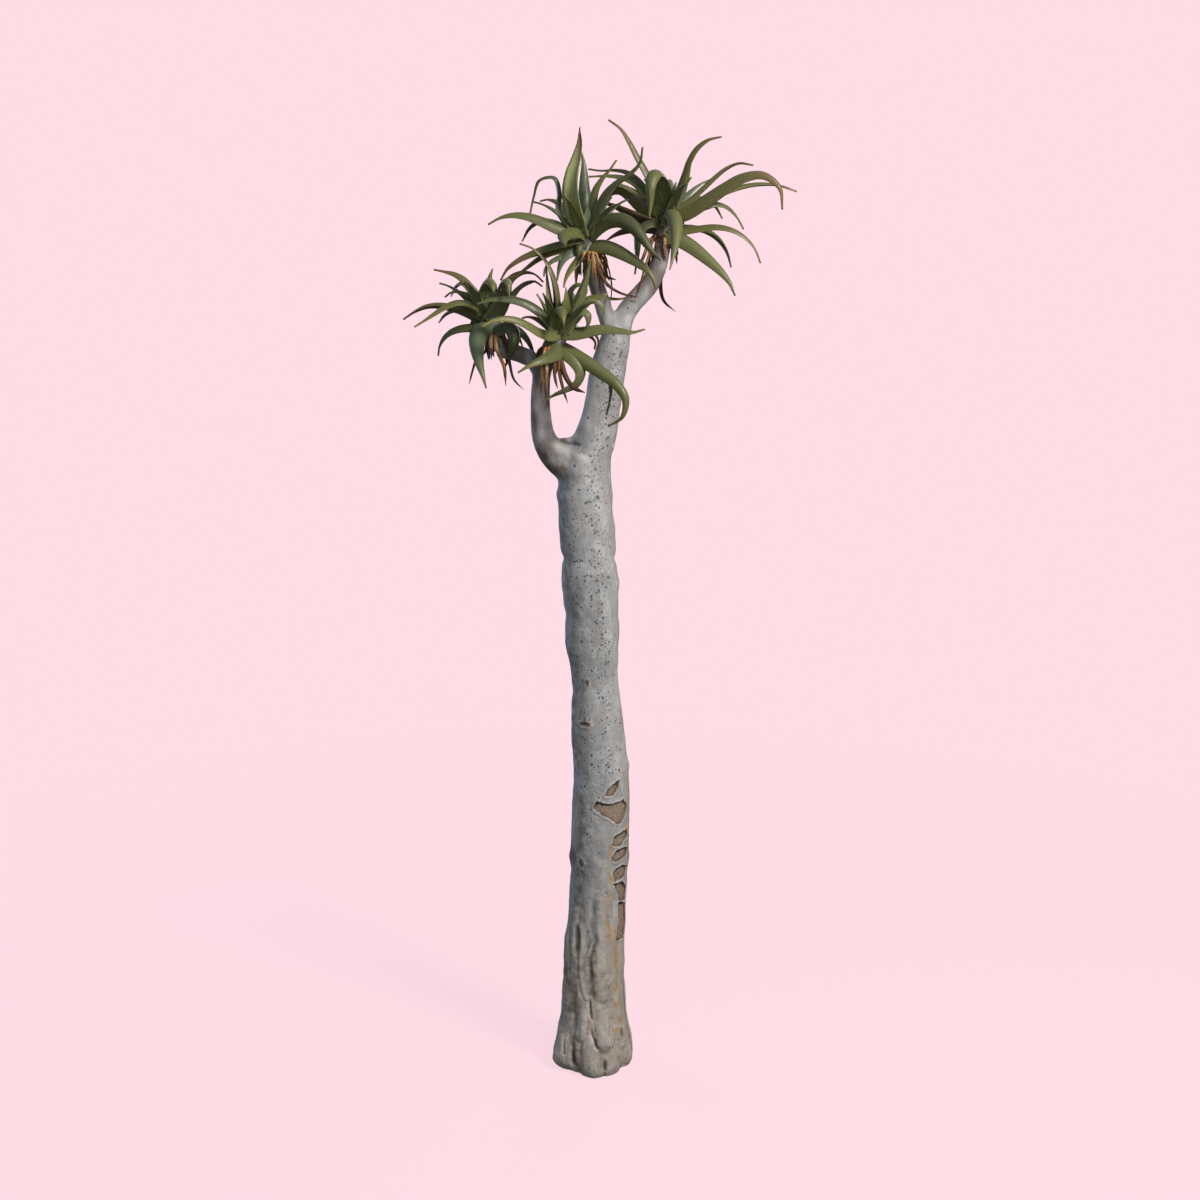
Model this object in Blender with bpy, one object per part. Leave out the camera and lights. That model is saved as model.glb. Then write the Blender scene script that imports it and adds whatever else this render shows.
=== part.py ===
"""Kokerboom (quiver tree): a bare trunk that forks into four limbs, each ending in a crown of leaves.

Metres, +Z up. The origin is the centre of the flat cut at ground level, +X runs along the spread of
the crown and -Y is the side that the lowest crown leans to. Every limb is a swept round, and every
crown is a stem with its leaves and dead leaves fused on.
"""

import random
from math import cos, pi, radians, sin

import bmesh
import bpy
import numpy as np
from mathutils import Matrix, Vector
from mathutils.bvhtree import BVHTree

NAME = "kokerboom_tree"
GAP = 0.0003             # between neighbouring parts

# Limb stations: sideways x, depth y, height z, radius.
# The main line runs up the trunk, through the thick right bough and out along the right limb.
MAIN_LINE = (
    (0.000, 0.000, 0.000, 0.106),
    (0.000, 0.000, 0.080, 0.102),
    (0.004, 0.000, 0.170, 0.088),
    (0.006, 0.000, 0.310, 0.085),
    (0.014, 0.000, 0.480, 0.079),
    (0.021, 0.000, 0.660, 0.080),
    (0.024, 0.000, 0.830, 0.076),
    (0.013, 0.000, 1.000, 0.070),
    (0.006, 0.000, 1.130, 0.064),
    (0.001, 0.000, 1.250, 0.073),
    (-0.012, 0.000, 1.500, 0.073),
    (-0.019, 0.000, 1.650, 0.070),
    (-0.009, 0.000, 1.727, 0.060),
    (0.012, 0.000, 1.784, 0.052),
    (0.028, 0.002, 1.860, 0.0475),
    (0.041, 0.005, 1.945, 0.047),
    (0.060, 0.009, 2.020, 0.040),
    (0.080, 0.014, 2.078, 0.029),
    (0.109, 0.020, 2.122, 0.0255),
    (0.145, 0.030, 2.160, 0.025),
    (0.165, 0.036, 2.195, 0.0235),
    (0.178, 0.043, 2.235, 0.0215),
    (0.182, 0.047, 2.268, 0.020),
)
# The left line leaves the head of the trunk, bends up at the elbow and ends under the front crown.
LEFT_LINE = (
    (-0.019, 0.000, 1.665, 0.050),
    (-0.066, -0.008, 1.697, 0.042),
    (-0.104, -0.018, 1.736, 0.037),
    (-0.127, -0.030, 1.782, 0.030),
    (-0.133, -0.045, 1.850, 0.026),
    (-0.131, -0.060, 1.915, 0.0245),
    (-0.124, -0.079, 1.962, 0.0245),
    (-0.110, -0.092, 1.993, 0.0255),
)
# The left limb branches off the left bough and turns up under the left crown.
SIDE_LINE = (
    (-0.128, -0.070, 1.945, 0.023),
    (-0.150, -0.062, 1.975, 0.022),
    (-0.177, -0.048, 1.989, 0.0215),
    (-0.205, -0.030, 1.996, 0.0205),
    (-0.230, -0.015, 2.001, 0.0205),
    (-0.238, -0.010, 2.019, 0.020),
)
# The middle limb leaves the fork and ends under the middle crown.
MIDDLE_LINE = (
    (0.062, 0.004, 2.020, 0.027),
    (0.042, -0.004, 2.072, 0.0225),
    (0.016, -0.014, 2.153, 0.0205),
    (0.001, -0.022, 2.195, 0.020),
    (-0.003, -0.026, 2.218, 0.020),
)

HEAD_HEIGHT = 1.66       # the trunk ends here, where the two boughs part
FORK_HEIGHT = 2.05       # the right bough ends here, where its two limbs part
ELBOW_HEIGHT = 1.79      # the left bough starts here, above the bend

TRUNK_SIDES = 20
LIMB_SIDES = 16
RING_STEP = 0.055

# Root flare: buttress lobes round the foot, as a share of the radius, fading out at this height.
FLARE_HEIGHT = 0.26
FLARE_LOBES = 5
FLARE_DEPTH = 0.055
FLARE_FADE = 1.5         # power of the fade: above 1 keeps the lobes low
FLARE_TURN = 0.6         # radians that the lobes are turned round the foot

# The stem inside a crown: share of its length, and share of the limb's radius there.
STEM_SIDES = 12
STEM_LENGTH = 0.080
STEM_SHAPE = ((0.0, 1.0), (0.5, 1.02), (0.85, 0.9), (1.0, 0.5))
COLLAR = 0.030           # bare stem under the lowest leaves
ROOT_REACH = 0.010       # a leaf's run starts this far out from the middle of the stem

LEAF_STATIONS = 8
LEAF_THICKNESS = 0.26    # of its width, at the keel
LEAF_DISH = 0.26         # height of the margins over the middle, of the width
KEEL_DROP = 0.18         # depth of the keel under the middle, of the width
KEEL_FLAT = 0.20         # half width of the flat under the keel, of the width
THINNEST_LEAF = 0.0036
LEAF_TIP = 0.10          # of the full width
CLEARANCE = 0.0025       # a leaf comes no nearer than this to a limb or to another crown

# Leaves, each row holding root height above the collar, heading at root and tip (degrees in plan, 0 to
# +X, 270 to -Y), rise above level from root to tip (degrees, evenly spaced), length, width, and how far
# the blade is rolled about its run at root and tip (degrees).
RIGHT_LEAVES = (
    (0.045, (173, 175), (81, 66, 57, 64, 24), 0.282, 0.046, (10, -25)),
    (0.045, (259, 240), (76, 47, 23, -105, -82), 0.287, 0.066, (0, 10)),
    (0.045, (325, 345), (66, 62, 79, 41, -1), 0.254, 0.056, (0, 30)),
    (0.045, (10, 10), (32, 39, 45, 32, -24), 0.266, 0.040, (0, -20)),
    (0.045, (332, 351), (3, 34, 31, 24, -43, -105), 0.382, 0.064, (35, 25)),
    (0.045, (12, 5), (18, 25, 20, 0, -25), 0.354, 0.046, (0, -15)),
    (0.039, (22, 12), (11, 21, 16, -44, -65), 0.242, 0.048, (0, 10)),
    (0.012, (349, 358), (-17, 15, -7, -43, -76), 0.284, 0.046, (5, 0)),
    (-0.005, (332, 337), (-2, -32, -39, -45, -75), 0.256, 0.058, (25, 30)),
    (0.015, (296, 242), (84, -14, -54, -54, -60), 0.260, 0.056, (0, 0)),
    (0.045, (172, 164), (22, 39, 40, -68, -89), 0.232, 0.060, (45, 20)),
    (0.045, (157, 165), (48, 59, 17, -2, -3), 0.261, 0.044, (-15, 0)),
    (0.045, (149, 158), (49, 59, 36, -10, 14), 0.264, 0.038, (0, 0)),
    (0.025, (176, 167), (11, 21, 25, 19, 1), 0.183, 0.044, (35, 20)),
    (0.018, (203, 200), (24, -17, -97, -86, -82), 0.180, 0.052, (0, 20)),
    (0.012, (164, 159), (10, 2, -12, -26, -37), 0.158, 0.044, (30, 20)),
)
MIDDLE_LEAVES = (
    (0.045, (231, 245), (71, 56, 80, 121, 114, 76), 0.279, 0.062, (0, 0)),
    (0.045, (84, 122), (47, 60, 78, 91, 55), 0.229, 0.050, (0, 0)),
    (0.045, (190, 194), (45, 26, 104, 104, -46, -85, -71), 0.290, 0.056, (0, 0)),
    (0.045, (192, 184), (17, 21, 22, -8, -37), 0.251, 0.054, (-30, -10)),
    (0.044, (225, 288), (32, -5, -11, -23, -30), 0.179, 0.056, (-20, 0)),
    (0.028, (192, 184), (-8, -9, -20, -29, -71), 0.242, 0.062, (25, -10)),
    (0.019, (180, 180), (-9, -11, -29, -43, -10), 0.220, 0.048, (0, 0)),
    (0.010, (204, 197), (-8, -23, -14, -41, -95), 0.140, 0.042, (0, 0)),
    (0.012, (210, 205), (-5, -16, -44, -78, -86), 0.127, 0.042, (-20, 0)),
    (0.003, (232, 215), (-22, -37, -41, -61, -84), 0.125, 0.040, (10, 0)),
    (0.018, (239, 248), (37, -28, -105, -112, -112), 0.110, 0.042, (-20, 0)),
    (0.045, (322, 335), (45, 25, -33, -58, -39), 0.267, 0.066, (45, 45)),
    (0.018, (326, 337), (16, -18, -29, -35, -90), 0.235, 0.064, (40, 30)),
    (0.045, (326, 344), (68, 70, 55, 25, 38, 102), 0.268, 0.056, (25, 10)),
    (0.045, (10, 4), (90, 88, 74, 42, 58), 0.205, 0.050, (20, 0)),
)
FRONT_LEAVES = (
    (0.045, (199, 193), (56, 44, 15, -2, -27), 0.235, 0.052, (-15, -20)),
    (0.045, (230, 197), (-30, 27, 28, -4, -37), 0.233, 0.050, (-20, -20)),
    (0.045, (169, 169), (32, 31, 28, 11, -25), 0.095, 0.040, (30, 0)),
    (0.045, (172, 178), (81, 79, 83, 88), 0.162, 0.044, (0, 0)),
    (0.045, (196, 184), (104, 89, 74, 49, 10), 0.256, 0.042, (0, 0)),
    (0.045, (293, 290), (47, 69, 104), 0.116, 0.036, (0, 0)),
    (0.045, (5, -11), (82, 74, 96, -5, -142), 0.174, 0.052, (10, 0)),
    (0.045, (328, 321), (54, 61, 65, 65, 76), 0.195, 0.058, (0, 15)),
    (0.045, (353, 351), (50, 54, 52, -46, -124), 0.174, 0.056, (20, 10)),
    (0.045, (333, 327), (37, 49, 43, -88, -135), 0.135, 0.060, (20, 0)),
    (0.045, (355, 358), (56, 62, 42, -21, 0, 69), 0.230, 0.038, (0, 0)),
    (0.045, (344, 351), (-14, 15, 1, -17, 26), 0.212, 0.058, (30, 15)),
    (0.004, (340, 339), (-22, -28, -34, -38, -109, -170), 0.329, 0.064, (40, 40)),
    (0.003, (351, 350), (-24, -27, -29, -99, -105), 0.254, 0.044, (0, 0)),
    (-0.003, (329, 378), (-18, -33, -63, -156, -163, -146), 0.234, 0.050, (15, 30)),
    (0.012, (280, 192), (-41, -16, -9, -21, -36), 0.189, 0.052, (-20, -20)),
    (0.043, (13, 10), (-25, -6, -3, -45, -126), 0.111, 0.034, (0, 0)),
    (0.045, (10, 4), (-19, 5, 1, -74, -120), 0.128, 0.034, (0, 0)),
    (0.045, (269, 287), (75, 49, 15, -38, -93), 0.153, 0.058, (0, 0)),
)
LEFT_LEAVES = (
    (0.045, (177, 173), (89, 56, 54, 9, 10), 0.194, 0.048, (-20, -10)),
    (0.045, (159, 164), (82, 47, 24, 5, -51), 0.145, 0.040, (25, 0)),
    (0.026, (170, 176), (33, 26, 13, 3, -32, -35), 0.242, 0.048, (25, 10)),
    (0.035, (202, 188), (56, 32, -25, -36, -30), 0.221, 0.048, (15, -15)),
    (0.021, (196, 182), (-10, 1, -17, -58, -91), 0.174, 0.048, (-10, 0)),
    (0.016, (238, 314), (18, -28, -48, -53, -73), 0.246, 0.056, (-20, 0)),
    (0.014, (230, 231), (-64, -38, -32, -39, -45), 0.063, 0.040, (0, 0)),
    (0.010, (303, 305), (10, 21, -70, -140, -132), 0.212, 0.054, (20, 0)),
    (0.008, (1, 5), (33, -15, -55, -72, -94), 0.159, 0.046, (20, 0)),
    (0.045, (266, 296), (93, 73, 42, -19, -102), 0.180, 0.064, (0, 0)),
    (0.045, (296, 277), (31, 27, 43, 14, -110), 0.258, 0.060, (0, 0)),
    (0.045, (89, 59), (79, 95, 93, 68, 44), 0.127, 0.038, (0, 0)),
    (0.045, (13, 8), (52, 42, 51, 24, -55), 0.171, 0.044, (-30, 0)),
    (0.045, (44, 19), (71, 62, 44, -4, -55), 0.221, 0.044, (10, 0)),
)

# Leaves that only show from behind fill the far half of each crown by rule.
BACK_LEAVES = 5
BACK_ROOT = (0.005, 0.035)     # above the collar, from the lowest leaf to the highest
BACK_RISE = (10, 68)           # degrees at the root, from the lowest leaf to the highest
BACK_DROOP = (35, 75)          # degrees the leaf bends down
BACK_BEND = (0.45, 1.6)        # of the droop, reached at the middle and at the tip
BACK_SWING = 12                # degrees the heading may drift from root to tip
BACK_SPREAD = 0.382            # of the fan between one leaf and the next
BACK_JITTER = 0.6
BACK_LENGTH = (0.20, 0.29)
BACK_WIDTH = 0.042
# For each crown, the fan of headings that its back leaves fill, and a seed.
FRONT_BACK = (50, 95), 3
MIDDLE_BACK = (95, 150), 5
LEFT_BACK = (80, 165), 7
RIGHT_BACK = (40, 120), 11

# Dead leaves: heading at root and tip, rise from root to tip, length, width. They hang from the foot
# of the crown.
DEAD_STATIONS = 6
DEAD_HEIGHT = -0.012     # from the top of the collar
DEAD_CURL = 0.26         # height of the strip's edges, of its width
DEAD_SAG = 0.13          # depth of its middle, of its width
RIGHT_DEAD = (
    ((237, 195), (51, -59, -71, -65, -80, -59), 0.204, 0.018),
    ((73, 34), (54, -121, -130, -65, -22), 0.255, 0.014),
    ((263, 247), (32, -32, -43), 0.074, 0.022),
)
MIDDLE_DEAD = (
    ((275, 243), (60, -16, -65, -60), 0.118, 0.030),
    ((281, 278), (60, -49, -74, -51), 0.163, 0.028),
    ((330, 329), (60, -5, -85, -95), 0.076, 0.020),
    ((337, 335), (60, -85, -68, -92, -95), 0.151, 0.016),
    ((276, 351), (60, -65, -58, -17, -9), 0.232, 0.014),
    ((300, 359), (56, -77, -62, 0), 0.109, 0.010),
)
FRONT_DEAD = (
    ((261, 258), (45, -35, -61, -81, -95), 0.194, 0.020),
    ((279, 320), (60, -63, -95, -57, -75), 0.184, 0.020),
    ((288, 340), (51, -67, -73, -44, -9), 0.180, 0.014),
    ((223, 225), (53, -95, -85), 0.073, 0.024),
)
LEFT_DEAD = (
    ((260, 309), (44, -26, -52, -9, -72, -95), 0.217, 0.020),
    ((240, 234), (50, -74, -95, -95), 0.083, 0.014),
    ((217, 205), (14, -56, -68, -68, -79), 0.154, 0.018),
    ((289, 349), (29, -50, -85, -77, -27), 0.187, 0.012),
    ((255, 286), (45, -27, -53, -39), 0.094, 0.026),
)

BARK_COLOUR = (0.52, 0.48, 0.44)
BARK_ROUGHNESS = 0.75
LEAF_COLOUR = (0.13, 0.17, 0.06)
LEAF_ROUGHNESS = 0.5


def smooth_line(stations, step):
    """Points of a smooth curve through the stations, about one step apart, as rows x, y, z, radius."""
    knots = np.array(stations)
    slopes = np.gradient(knots, axis=0)
    rows = []
    for first, last, lead, trail in zip(knots, knots[1:], slopes, slopes[1:]):
        count = max(1, round(np.linalg.norm((last - first)[:3]) / step))
        for t in np.arange(count) / count:
            rows.append(
                (2 * t**3 - 3 * t**2 + 1) * first
                + (t**3 - 2 * t**2 + t) * lead
                + (3 * t**2 - 2 * t**3) * last
                + (t**3 - t**2) * trail
            )
    rows.append(knots[-1])
    return np.array(rows)


def ring_places(rows):
    """One matrix for each row: it sets a unit ring, flat in XY, square to the curve at its radius."""
    centres = [Vector(row[:3]) for row in rows]
    places = []
    side = Vector((1.0, 0.0, 0.0))
    for index, (centre, row) in enumerate(zip(centres, rows)):
        before = centres[max(index - 1, 0)]
        after = centres[min(index + 1, len(centres) - 1)]
        along = (after - before).normalized()
        side = (side - along * side.dot(along)).normalized()
        across = along.cross(side)
        frame = Matrix((side * row[3], across * row[3], along)).transposed().to_4x4()
        places.append(Matrix.Translation(centre) @ frame)
    return places


def moved_along(place, distance):
    """The same placing, further along its own axis."""
    return Matrix.Translation(place.col[2].to_3d().normalized() * distance) @ place


def round_outline(sides):
    """Corners of a unit ring."""
    return [(cos(2 * pi * k / sides), sin(2 * pi * k / sides)) for k in range(sides)]


def sweep(outline, places):
    """A closed solid: the outline carried through each placing in turn, with both ends capped."""
    bm = bmesh.new()
    cap = bm.faces.new([bm.verts.new(places[0] @ Vector((u, v, 0.0))) for u, v in outline])
    for index, (here, there) in enumerate(zip(places, places[1:])):
        grown = bmesh.ops.extrude_face_region(bm, geom=[cap])["geom"]
        if index:
            bmesh.ops.delete(bm, geom=[cap], context="FACES_ONLY")
        cap = next(item for item in grown if isinstance(item, bmesh.types.BMFace))
        bmesh.ops.transform(bm, matrix=there @ here.inverted(), verts=cap.verts)
    bmesh.ops.recalc_face_normals(bm, faces=bm.faces)
    return bm


def flare_foot(bm):
    """Push the foot of the trunk out in buttress lobes, keeping its ring at ground level flat."""
    for vert in bm.verts:
        fade = max(0.0, 1.0 - vert.co.z / FLARE_HEIGHT) ** FLARE_FADE
        turn = np.arctan2(vert.co.y, vert.co.x)
        factor = 1.0 + FLARE_DEPTH * fade * cos(FLARE_LOBES * turn + FLARE_TURN)
        vert.co.x *= factor
        vert.co.y *= factor


def paint(name, colour, roughness):
    """A Principled material."""
    material = bpy.data.materials.new(name)
    material.use_nodes = True
    shader = material.node_tree.nodes["Principled BSDF"]
    shader.inputs["Base Color"].default_value = (*colour, 1.0)
    shader.inputs["Roughness"].default_value = roughness
    shader.inputs["Metallic"].default_value = 0.0
    return material


def solid(name, bm, material, collection):
    """An object from a finished bmesh."""
    mesh = bpy.data.meshes.new(name)
    bm.to_mesh(mesh)
    bm.free()
    mesh.materials.append(material)
    thing = bpy.data.objects.new(name, mesh)
    collection.objects.link(thing)
    return thing


def settle(thing):
    """Give the object the mesh that its modifiers make, and drop the modifiers."""
    graph = bpy.context.evaluated_depsgraph_get()
    finished = bpy.data.meshes.new_from_object(thing.evaluated_get(graph))
    thing.modifiers.clear()
    thing.data = finished


def widened(place, extra):
    """The same placing with a ring that is wider all round."""
    factor = 1.0 + extra / place.col[0].to_3d().length
    return place @ Matrix.Diagonal((factor, factor, 1.0, 1.0))


def cut_clear(limb, neighbours, cutters):
    """Cut the limb's root where it runs into its neighbours, each grown by the gap."""
    for places, sides in neighbours:
        grown = [widened(place, GAP) for place in places]
        grown[0] = moved_along(grown[0], -GAP)
        grown[-1] = moved_along(grown[-1], GAP)
        cutter = solid("cutter", sweep(round_outline(sides), grown), limb.data.materials[0], cutters)
        cutter.hide_render = True
        cutter.display_type = "WIRE"
        cut = limb.modifiers.new("cut", "BOOLEAN")
        cut.operation = "DIFFERENCE"
        cut.object = cutter
        settle(limb)
        bpy.data.objects.remove(cutter)


def leaf_places(root, row, stations, grow=0.0):
    """Placings along a leaf: its run bends from its first rise to its last as it goes out."""
    heading, rise, length, width, roll = row
    places = []
    start = radians(heading[0])
    point = Vector(root) + Vector((cos(start), sin(start), 0.0)) * ROOT_REACH
    for index, t in enumerate(np.linspace(0.0, 1.0, stations)):
        up = radians(np.interp(t, np.linspace(0.0, 1.0, len(rise)), rise))
        turn = radians(np.interp(t, (0.0, 1.0), heading))
        along = Vector((cos(up) * cos(turn), cos(up) * sin(turn), sin(up)))
        face = Vector((-sin(up) * cos(turn), -sin(up) * sin(turn), cos(up)))
        if index:
            point = point + (along + last).normalized() * length / (stations - 1)
        face = Matrix.Rotation(radians(np.interp(t, (0.0, 1.0), roll)), 3, along) @ face
        taper = max(cos(pi / 2 * t), LEAF_TIP)
        wide = width * taper + 2 * grow
        thick = (max(LEAF_THICKNESS * width * taper, THINNEST_LEAF) + 2 * grow) / LEAF_THICKNESS
        turned = Matrix((along.cross(face) * wide, face * thick, along)).transposed().to_4x4()
        places.append(Matrix.Translation(point) @ turned)
        last = along
    return places


def leaf_outline():
    """Cross-section of a leaf of unit width: hollow above and keeled below."""
    return (
        (-0.50, LEAF_DISH),
        (-KEEL_FLAT, -KEEL_DROP),
        (KEEL_FLAT, -KEEL_DROP),
        (0.50, LEAF_DISH),
        (0.0, LEAF_THICKNESS - KEEL_DROP),
    )


def dead_outline():
    """Cross-section of a dead leaf of unit width: a curled strip."""
    return ((-0.50, DEAD_CURL), (0.0, -DEAD_SAG), (0.50, DEAD_CURL), (0.0, DEAD_CURL))


def back_rows(headings, seed):
    """Rows for the leaves at the back of a crown, spread evenly and varied by a seeded rule."""
    dice = random.Random(seed)
    rows = []
    for index in range(BACK_LEAVES):
        share = (index + dice.random() * BACK_JITTER) / BACK_LEAVES
        # Neighbouring leaves on the stem point well apart, as on the living tree.
        heading = headings[0] + (headings[1] - headings[0]) * (index * BACK_SPREAD % 1.0)
        root = BACK_ROOT[0] + (BACK_ROOT[1] - BACK_ROOT[0]) * share
        rise = BACK_RISE[0] + (BACK_RISE[1] - BACK_RISE[0]) * share
        droop = dice.uniform(*BACK_DROOP)
        length = dice.uniform(*BACK_LENGTH)
        drift = dice.uniform(-BACK_SWING, BACK_SWING)
        bends = (rise, rise - droop * BACK_BEND[0], rise - droop * BACK_BEND[1])
        rows.append((root, (heading, heading + drift), bends, length, BACK_WIDTH, (0, 0)))
    return rows


def tree_of_object(thing):
    """A search tree of an object's faces."""
    return BVHTree.FromPolygons([vert.co for vert in thing.data.vertices],
                                [face.vertices for face in thing.data.polygons])


def keep_skin(thing):
    """Keep the crown's outer skin: drop loose scraps and the walls of any sealed hollow."""
    bm = bmesh.new()
    bm.from_mesh(thing.data)
    bm.faces.ensure_lookup_table()
    left = set(bm.faces)
    shells = []
    while left:
        front = [left.pop()]
        shell = set(front)
        while front:
            for edge in front.pop().edges:
                for face in edge.link_faces:
                    if face in left:
                        left.remove(face)
                        shell.add(face)
                        front.append(face)
        shells.append(shell)
    skin = max(shells, key=len)
    bmesh.ops.delete(bm, geom=[face for face in bm.faces if face not in skin], context="FACES")
    bm.to_mesh(thing.data)
    bm.free()


def stem_places(tip):
    """Placings of the stem that carries on from a limb's tip."""
    places = []
    for share, width in STEM_SHAPE:
        ring = moved_along(tip, GAP + STEM_LENGTH * share)
        places.append(ring @ Matrix.Diagonal((width, width, 1.0, 1.0)))
    return places


def tree_of_blade(outline, places):
    """A search tree of a blade's faces."""
    bm = sweep(outline, places)
    tree = BVHTree.FromBMesh(bm)
    bm.free()
    return tree


def choose_blades(crowns, limbs):
    """Placings and outline of every blade that touches no limb and no blade of another crown.

    The leaves given by hand come first in every crown, and the leaves of its far half last.
    """
    blades = {name: [] for name, *_ in crowns}
    trees = {name: [] for name, *_ in crowns}
    for kind in ("live", "dead", "back"):
        for name, tip, leaves, dead, back in crowns:
            axis = tip.col[2].to_3d().normalized()
            others = list(limbs)
            for other, grown in trees.items():
                if other != name:
                    others += grown
            if kind == "dead":
                rows = [(DEAD_HEIGHT, *row, (0, 0)) for row in dead]
            else:
                rows = leaves if kind == "live" else back_rows(*back)
            outline = dead_outline() if kind == "dead" else leaf_outline()
            stations = DEAD_STATIONS if kind == "dead" else LEAF_STATIONS
            for height, *row in rows:
                root = tip.translation + axis * (COLLAR + height)
                fat = tree_of_blade(outline, leaf_places(root, row, stations, CLEARANCE))
                if any(fat.overlap(other) for other in others):
                    continue
                places = leaf_places(root, row, stations)
                blades[name].append((outline, places))
                trees[name].append(tree_of_blade(outline, places))
    return blades


def fuse(whole, blades):
    """Join every blade in the collection to the stem, and remove the blades."""
    join = whole.modifiers.new("join", "BOOLEAN")
    join.operation = "UNION"
    join.operand_type = "COLLECTION"
    join.collection = blades
    settle(whole)
    for blade in list(blades.objects):
        bpy.data.objects.remove(blade)
    bpy.data.collections.remove(blades)


def crown(name, tip, blades, material, collection):
    """A stem that carries on from a limb's tip, with its blades fused on."""
    whole = solid(name, sweep(round_outline(STEM_SIDES), stem_places(tip)), material, collection)
    loose = bpy.data.collections.new(name + "_blades")
    bpy.context.scene.collection.children.link(loose)
    for outline, places in blades:
        solid(name + "_blade", sweep(outline, places), material, loose)
    fuse(whole, loose)
    keep_skin(whole)


def main_limbs(bark, collection):
    """The trunk, the right bough and the right limb, stacked on one line. Returns their placings too."""
    rows = smooth_line(MAIN_LINE, RING_STEP)
    rings = ring_places(rows)
    rings[0] = Matrix.Diagonal((MAIN_LINE[0][3], MAIN_LINE[0][3], 1.0, 1.0))
    head = int(np.argmin(abs(rows[:, 2] - HEAD_HEIGHT)))
    fork = int(np.argmin(abs(rows[:, 2] - FORK_HEIGHT)))
    runs = {
        "trunk": rings[:head + 1],
        "right_bough": [moved_along(rings[head], GAP)] + rings[head + 1:fork + 1],
        "right_limb": [moved_along(rings[fork], GAP)] + rings[fork + 1:],
    }
    things = []
    for name, run in runs.items():
        bm = sweep(round_outline(TRUNK_SIDES), run)
        if name == "trunk":
            flare_foot(bm)
        things.append(solid(name, bm, bark, collection))
    return things, runs


def left_limbs(bark, collection):
    """The elbow and the left bough on one line, and the limb that branches off. Returns placings too."""
    rows = smooth_line(LEFT_LINE, RING_STEP)
    rings = ring_places(rows)
    elbow = int(np.argmin(abs(rows[:, 2] - ELBOW_HEIGHT)))
    runs = {
        "left_elbow": rings[:elbow + 1],
        "left_bough": [moved_along(rings[elbow], GAP)] + rings[elbow + 1:],
        "left_limb": ring_places(smooth_line(SIDE_LINE, RING_STEP)),
    }
    outline = round_outline(LIMB_SIDES)
    things = [solid(name, sweep(outline, run), bark, collection) for name, run in runs.items()]
    return things, runs


def main():
    """Build the tree from the ground up."""
    for thing in list(bpy.data.objects):
        bpy.data.objects.remove(thing)
    collection = bpy.data.collections.new(NAME)
    bpy.context.scene.collection.children.link(collection)
    cutters = bpy.data.collections.new("cutters")
    bpy.context.scene.collection.children.link(cutters)
    bark = paint("kokerboom_bark", BARK_COLOUR, BARK_ROUGHNESS)
    leaf = paint("kokerboom_leaf", LEAF_COLOUR, LEAF_ROUGHNESS)

    stack, runs = main_limbs(bark, collection)
    (elbow, left_bough, left_limb), left_runs = left_limbs(bark, collection)
    runs.update(left_runs)
    runs["middle_limb"] = ring_places(smooth_line(MIDDLE_LINE, RING_STEP))
    middle = solid("middle_limb", sweep(round_outline(LIMB_SIDES), runs["middle_limb"]), bark, collection)
    cut_clear(elbow, ((runs["trunk"], TRUNK_SIDES), (runs["right_bough"], TRUNK_SIDES)), cutters)
    cut_clear(left_limb, ((runs["left_bough"], LIMB_SIDES),), cutters)
    cut_clear(middle, ((runs["right_bough"], TRUNK_SIDES), (runs["right_limb"], TRUNK_SIDES)), cutters)

    limbs = [tree_of_object(thing) for thing in (*stack, elbow, left_bough, left_limb, middle)]
    crowns = (
        ("front_crown", runs["left_bough"][-1], FRONT_LEAVES, FRONT_DEAD, FRONT_BACK),
        ("middle_crown", runs["middle_limb"][-1], MIDDLE_LEAVES, MIDDLE_DEAD, MIDDLE_BACK),
        ("left_crown", runs["left_limb"][-1], LEFT_LEAVES, LEFT_DEAD, LEFT_BACK),
        ("right_crown", runs["right_limb"][-1], RIGHT_LEAVES, RIGHT_DEAD, RIGHT_BACK),
    )
    blades = choose_blades(crowns, limbs)
    for name, tip, *_ in crowns:
        crown(name, tip, blades[name], leaf, collection)
    bpy.data.collections.remove(cutters)


main()
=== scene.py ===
"""The kokerboom dressed: pale smooth bark with its folds, scars and specks, and four crowns of
thick channelled leaves with their dead leaves hanging under them.

Everything is grown by the same rule as the solids, from the same sizes, only finer.
"""

import random
from math import cos, pi, radians, sin

import bmesh
import bpy
import numpy as np
from mathutils import Matrix, Vector, noise
from mathutils.bvhtree import BVHTree


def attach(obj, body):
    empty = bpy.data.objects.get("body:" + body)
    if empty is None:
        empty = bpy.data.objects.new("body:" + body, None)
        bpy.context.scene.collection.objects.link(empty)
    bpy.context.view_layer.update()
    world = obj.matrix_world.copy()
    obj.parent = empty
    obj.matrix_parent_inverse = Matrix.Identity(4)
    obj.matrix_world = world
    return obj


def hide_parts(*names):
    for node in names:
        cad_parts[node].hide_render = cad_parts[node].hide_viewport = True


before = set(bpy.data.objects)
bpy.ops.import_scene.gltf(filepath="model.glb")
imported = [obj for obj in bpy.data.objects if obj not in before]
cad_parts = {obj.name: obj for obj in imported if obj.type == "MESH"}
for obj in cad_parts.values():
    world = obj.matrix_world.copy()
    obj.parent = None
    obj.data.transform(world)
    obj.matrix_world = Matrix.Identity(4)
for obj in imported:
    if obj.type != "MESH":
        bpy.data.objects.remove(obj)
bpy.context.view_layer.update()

# ---------------------------------------------------------------- limbs

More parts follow.
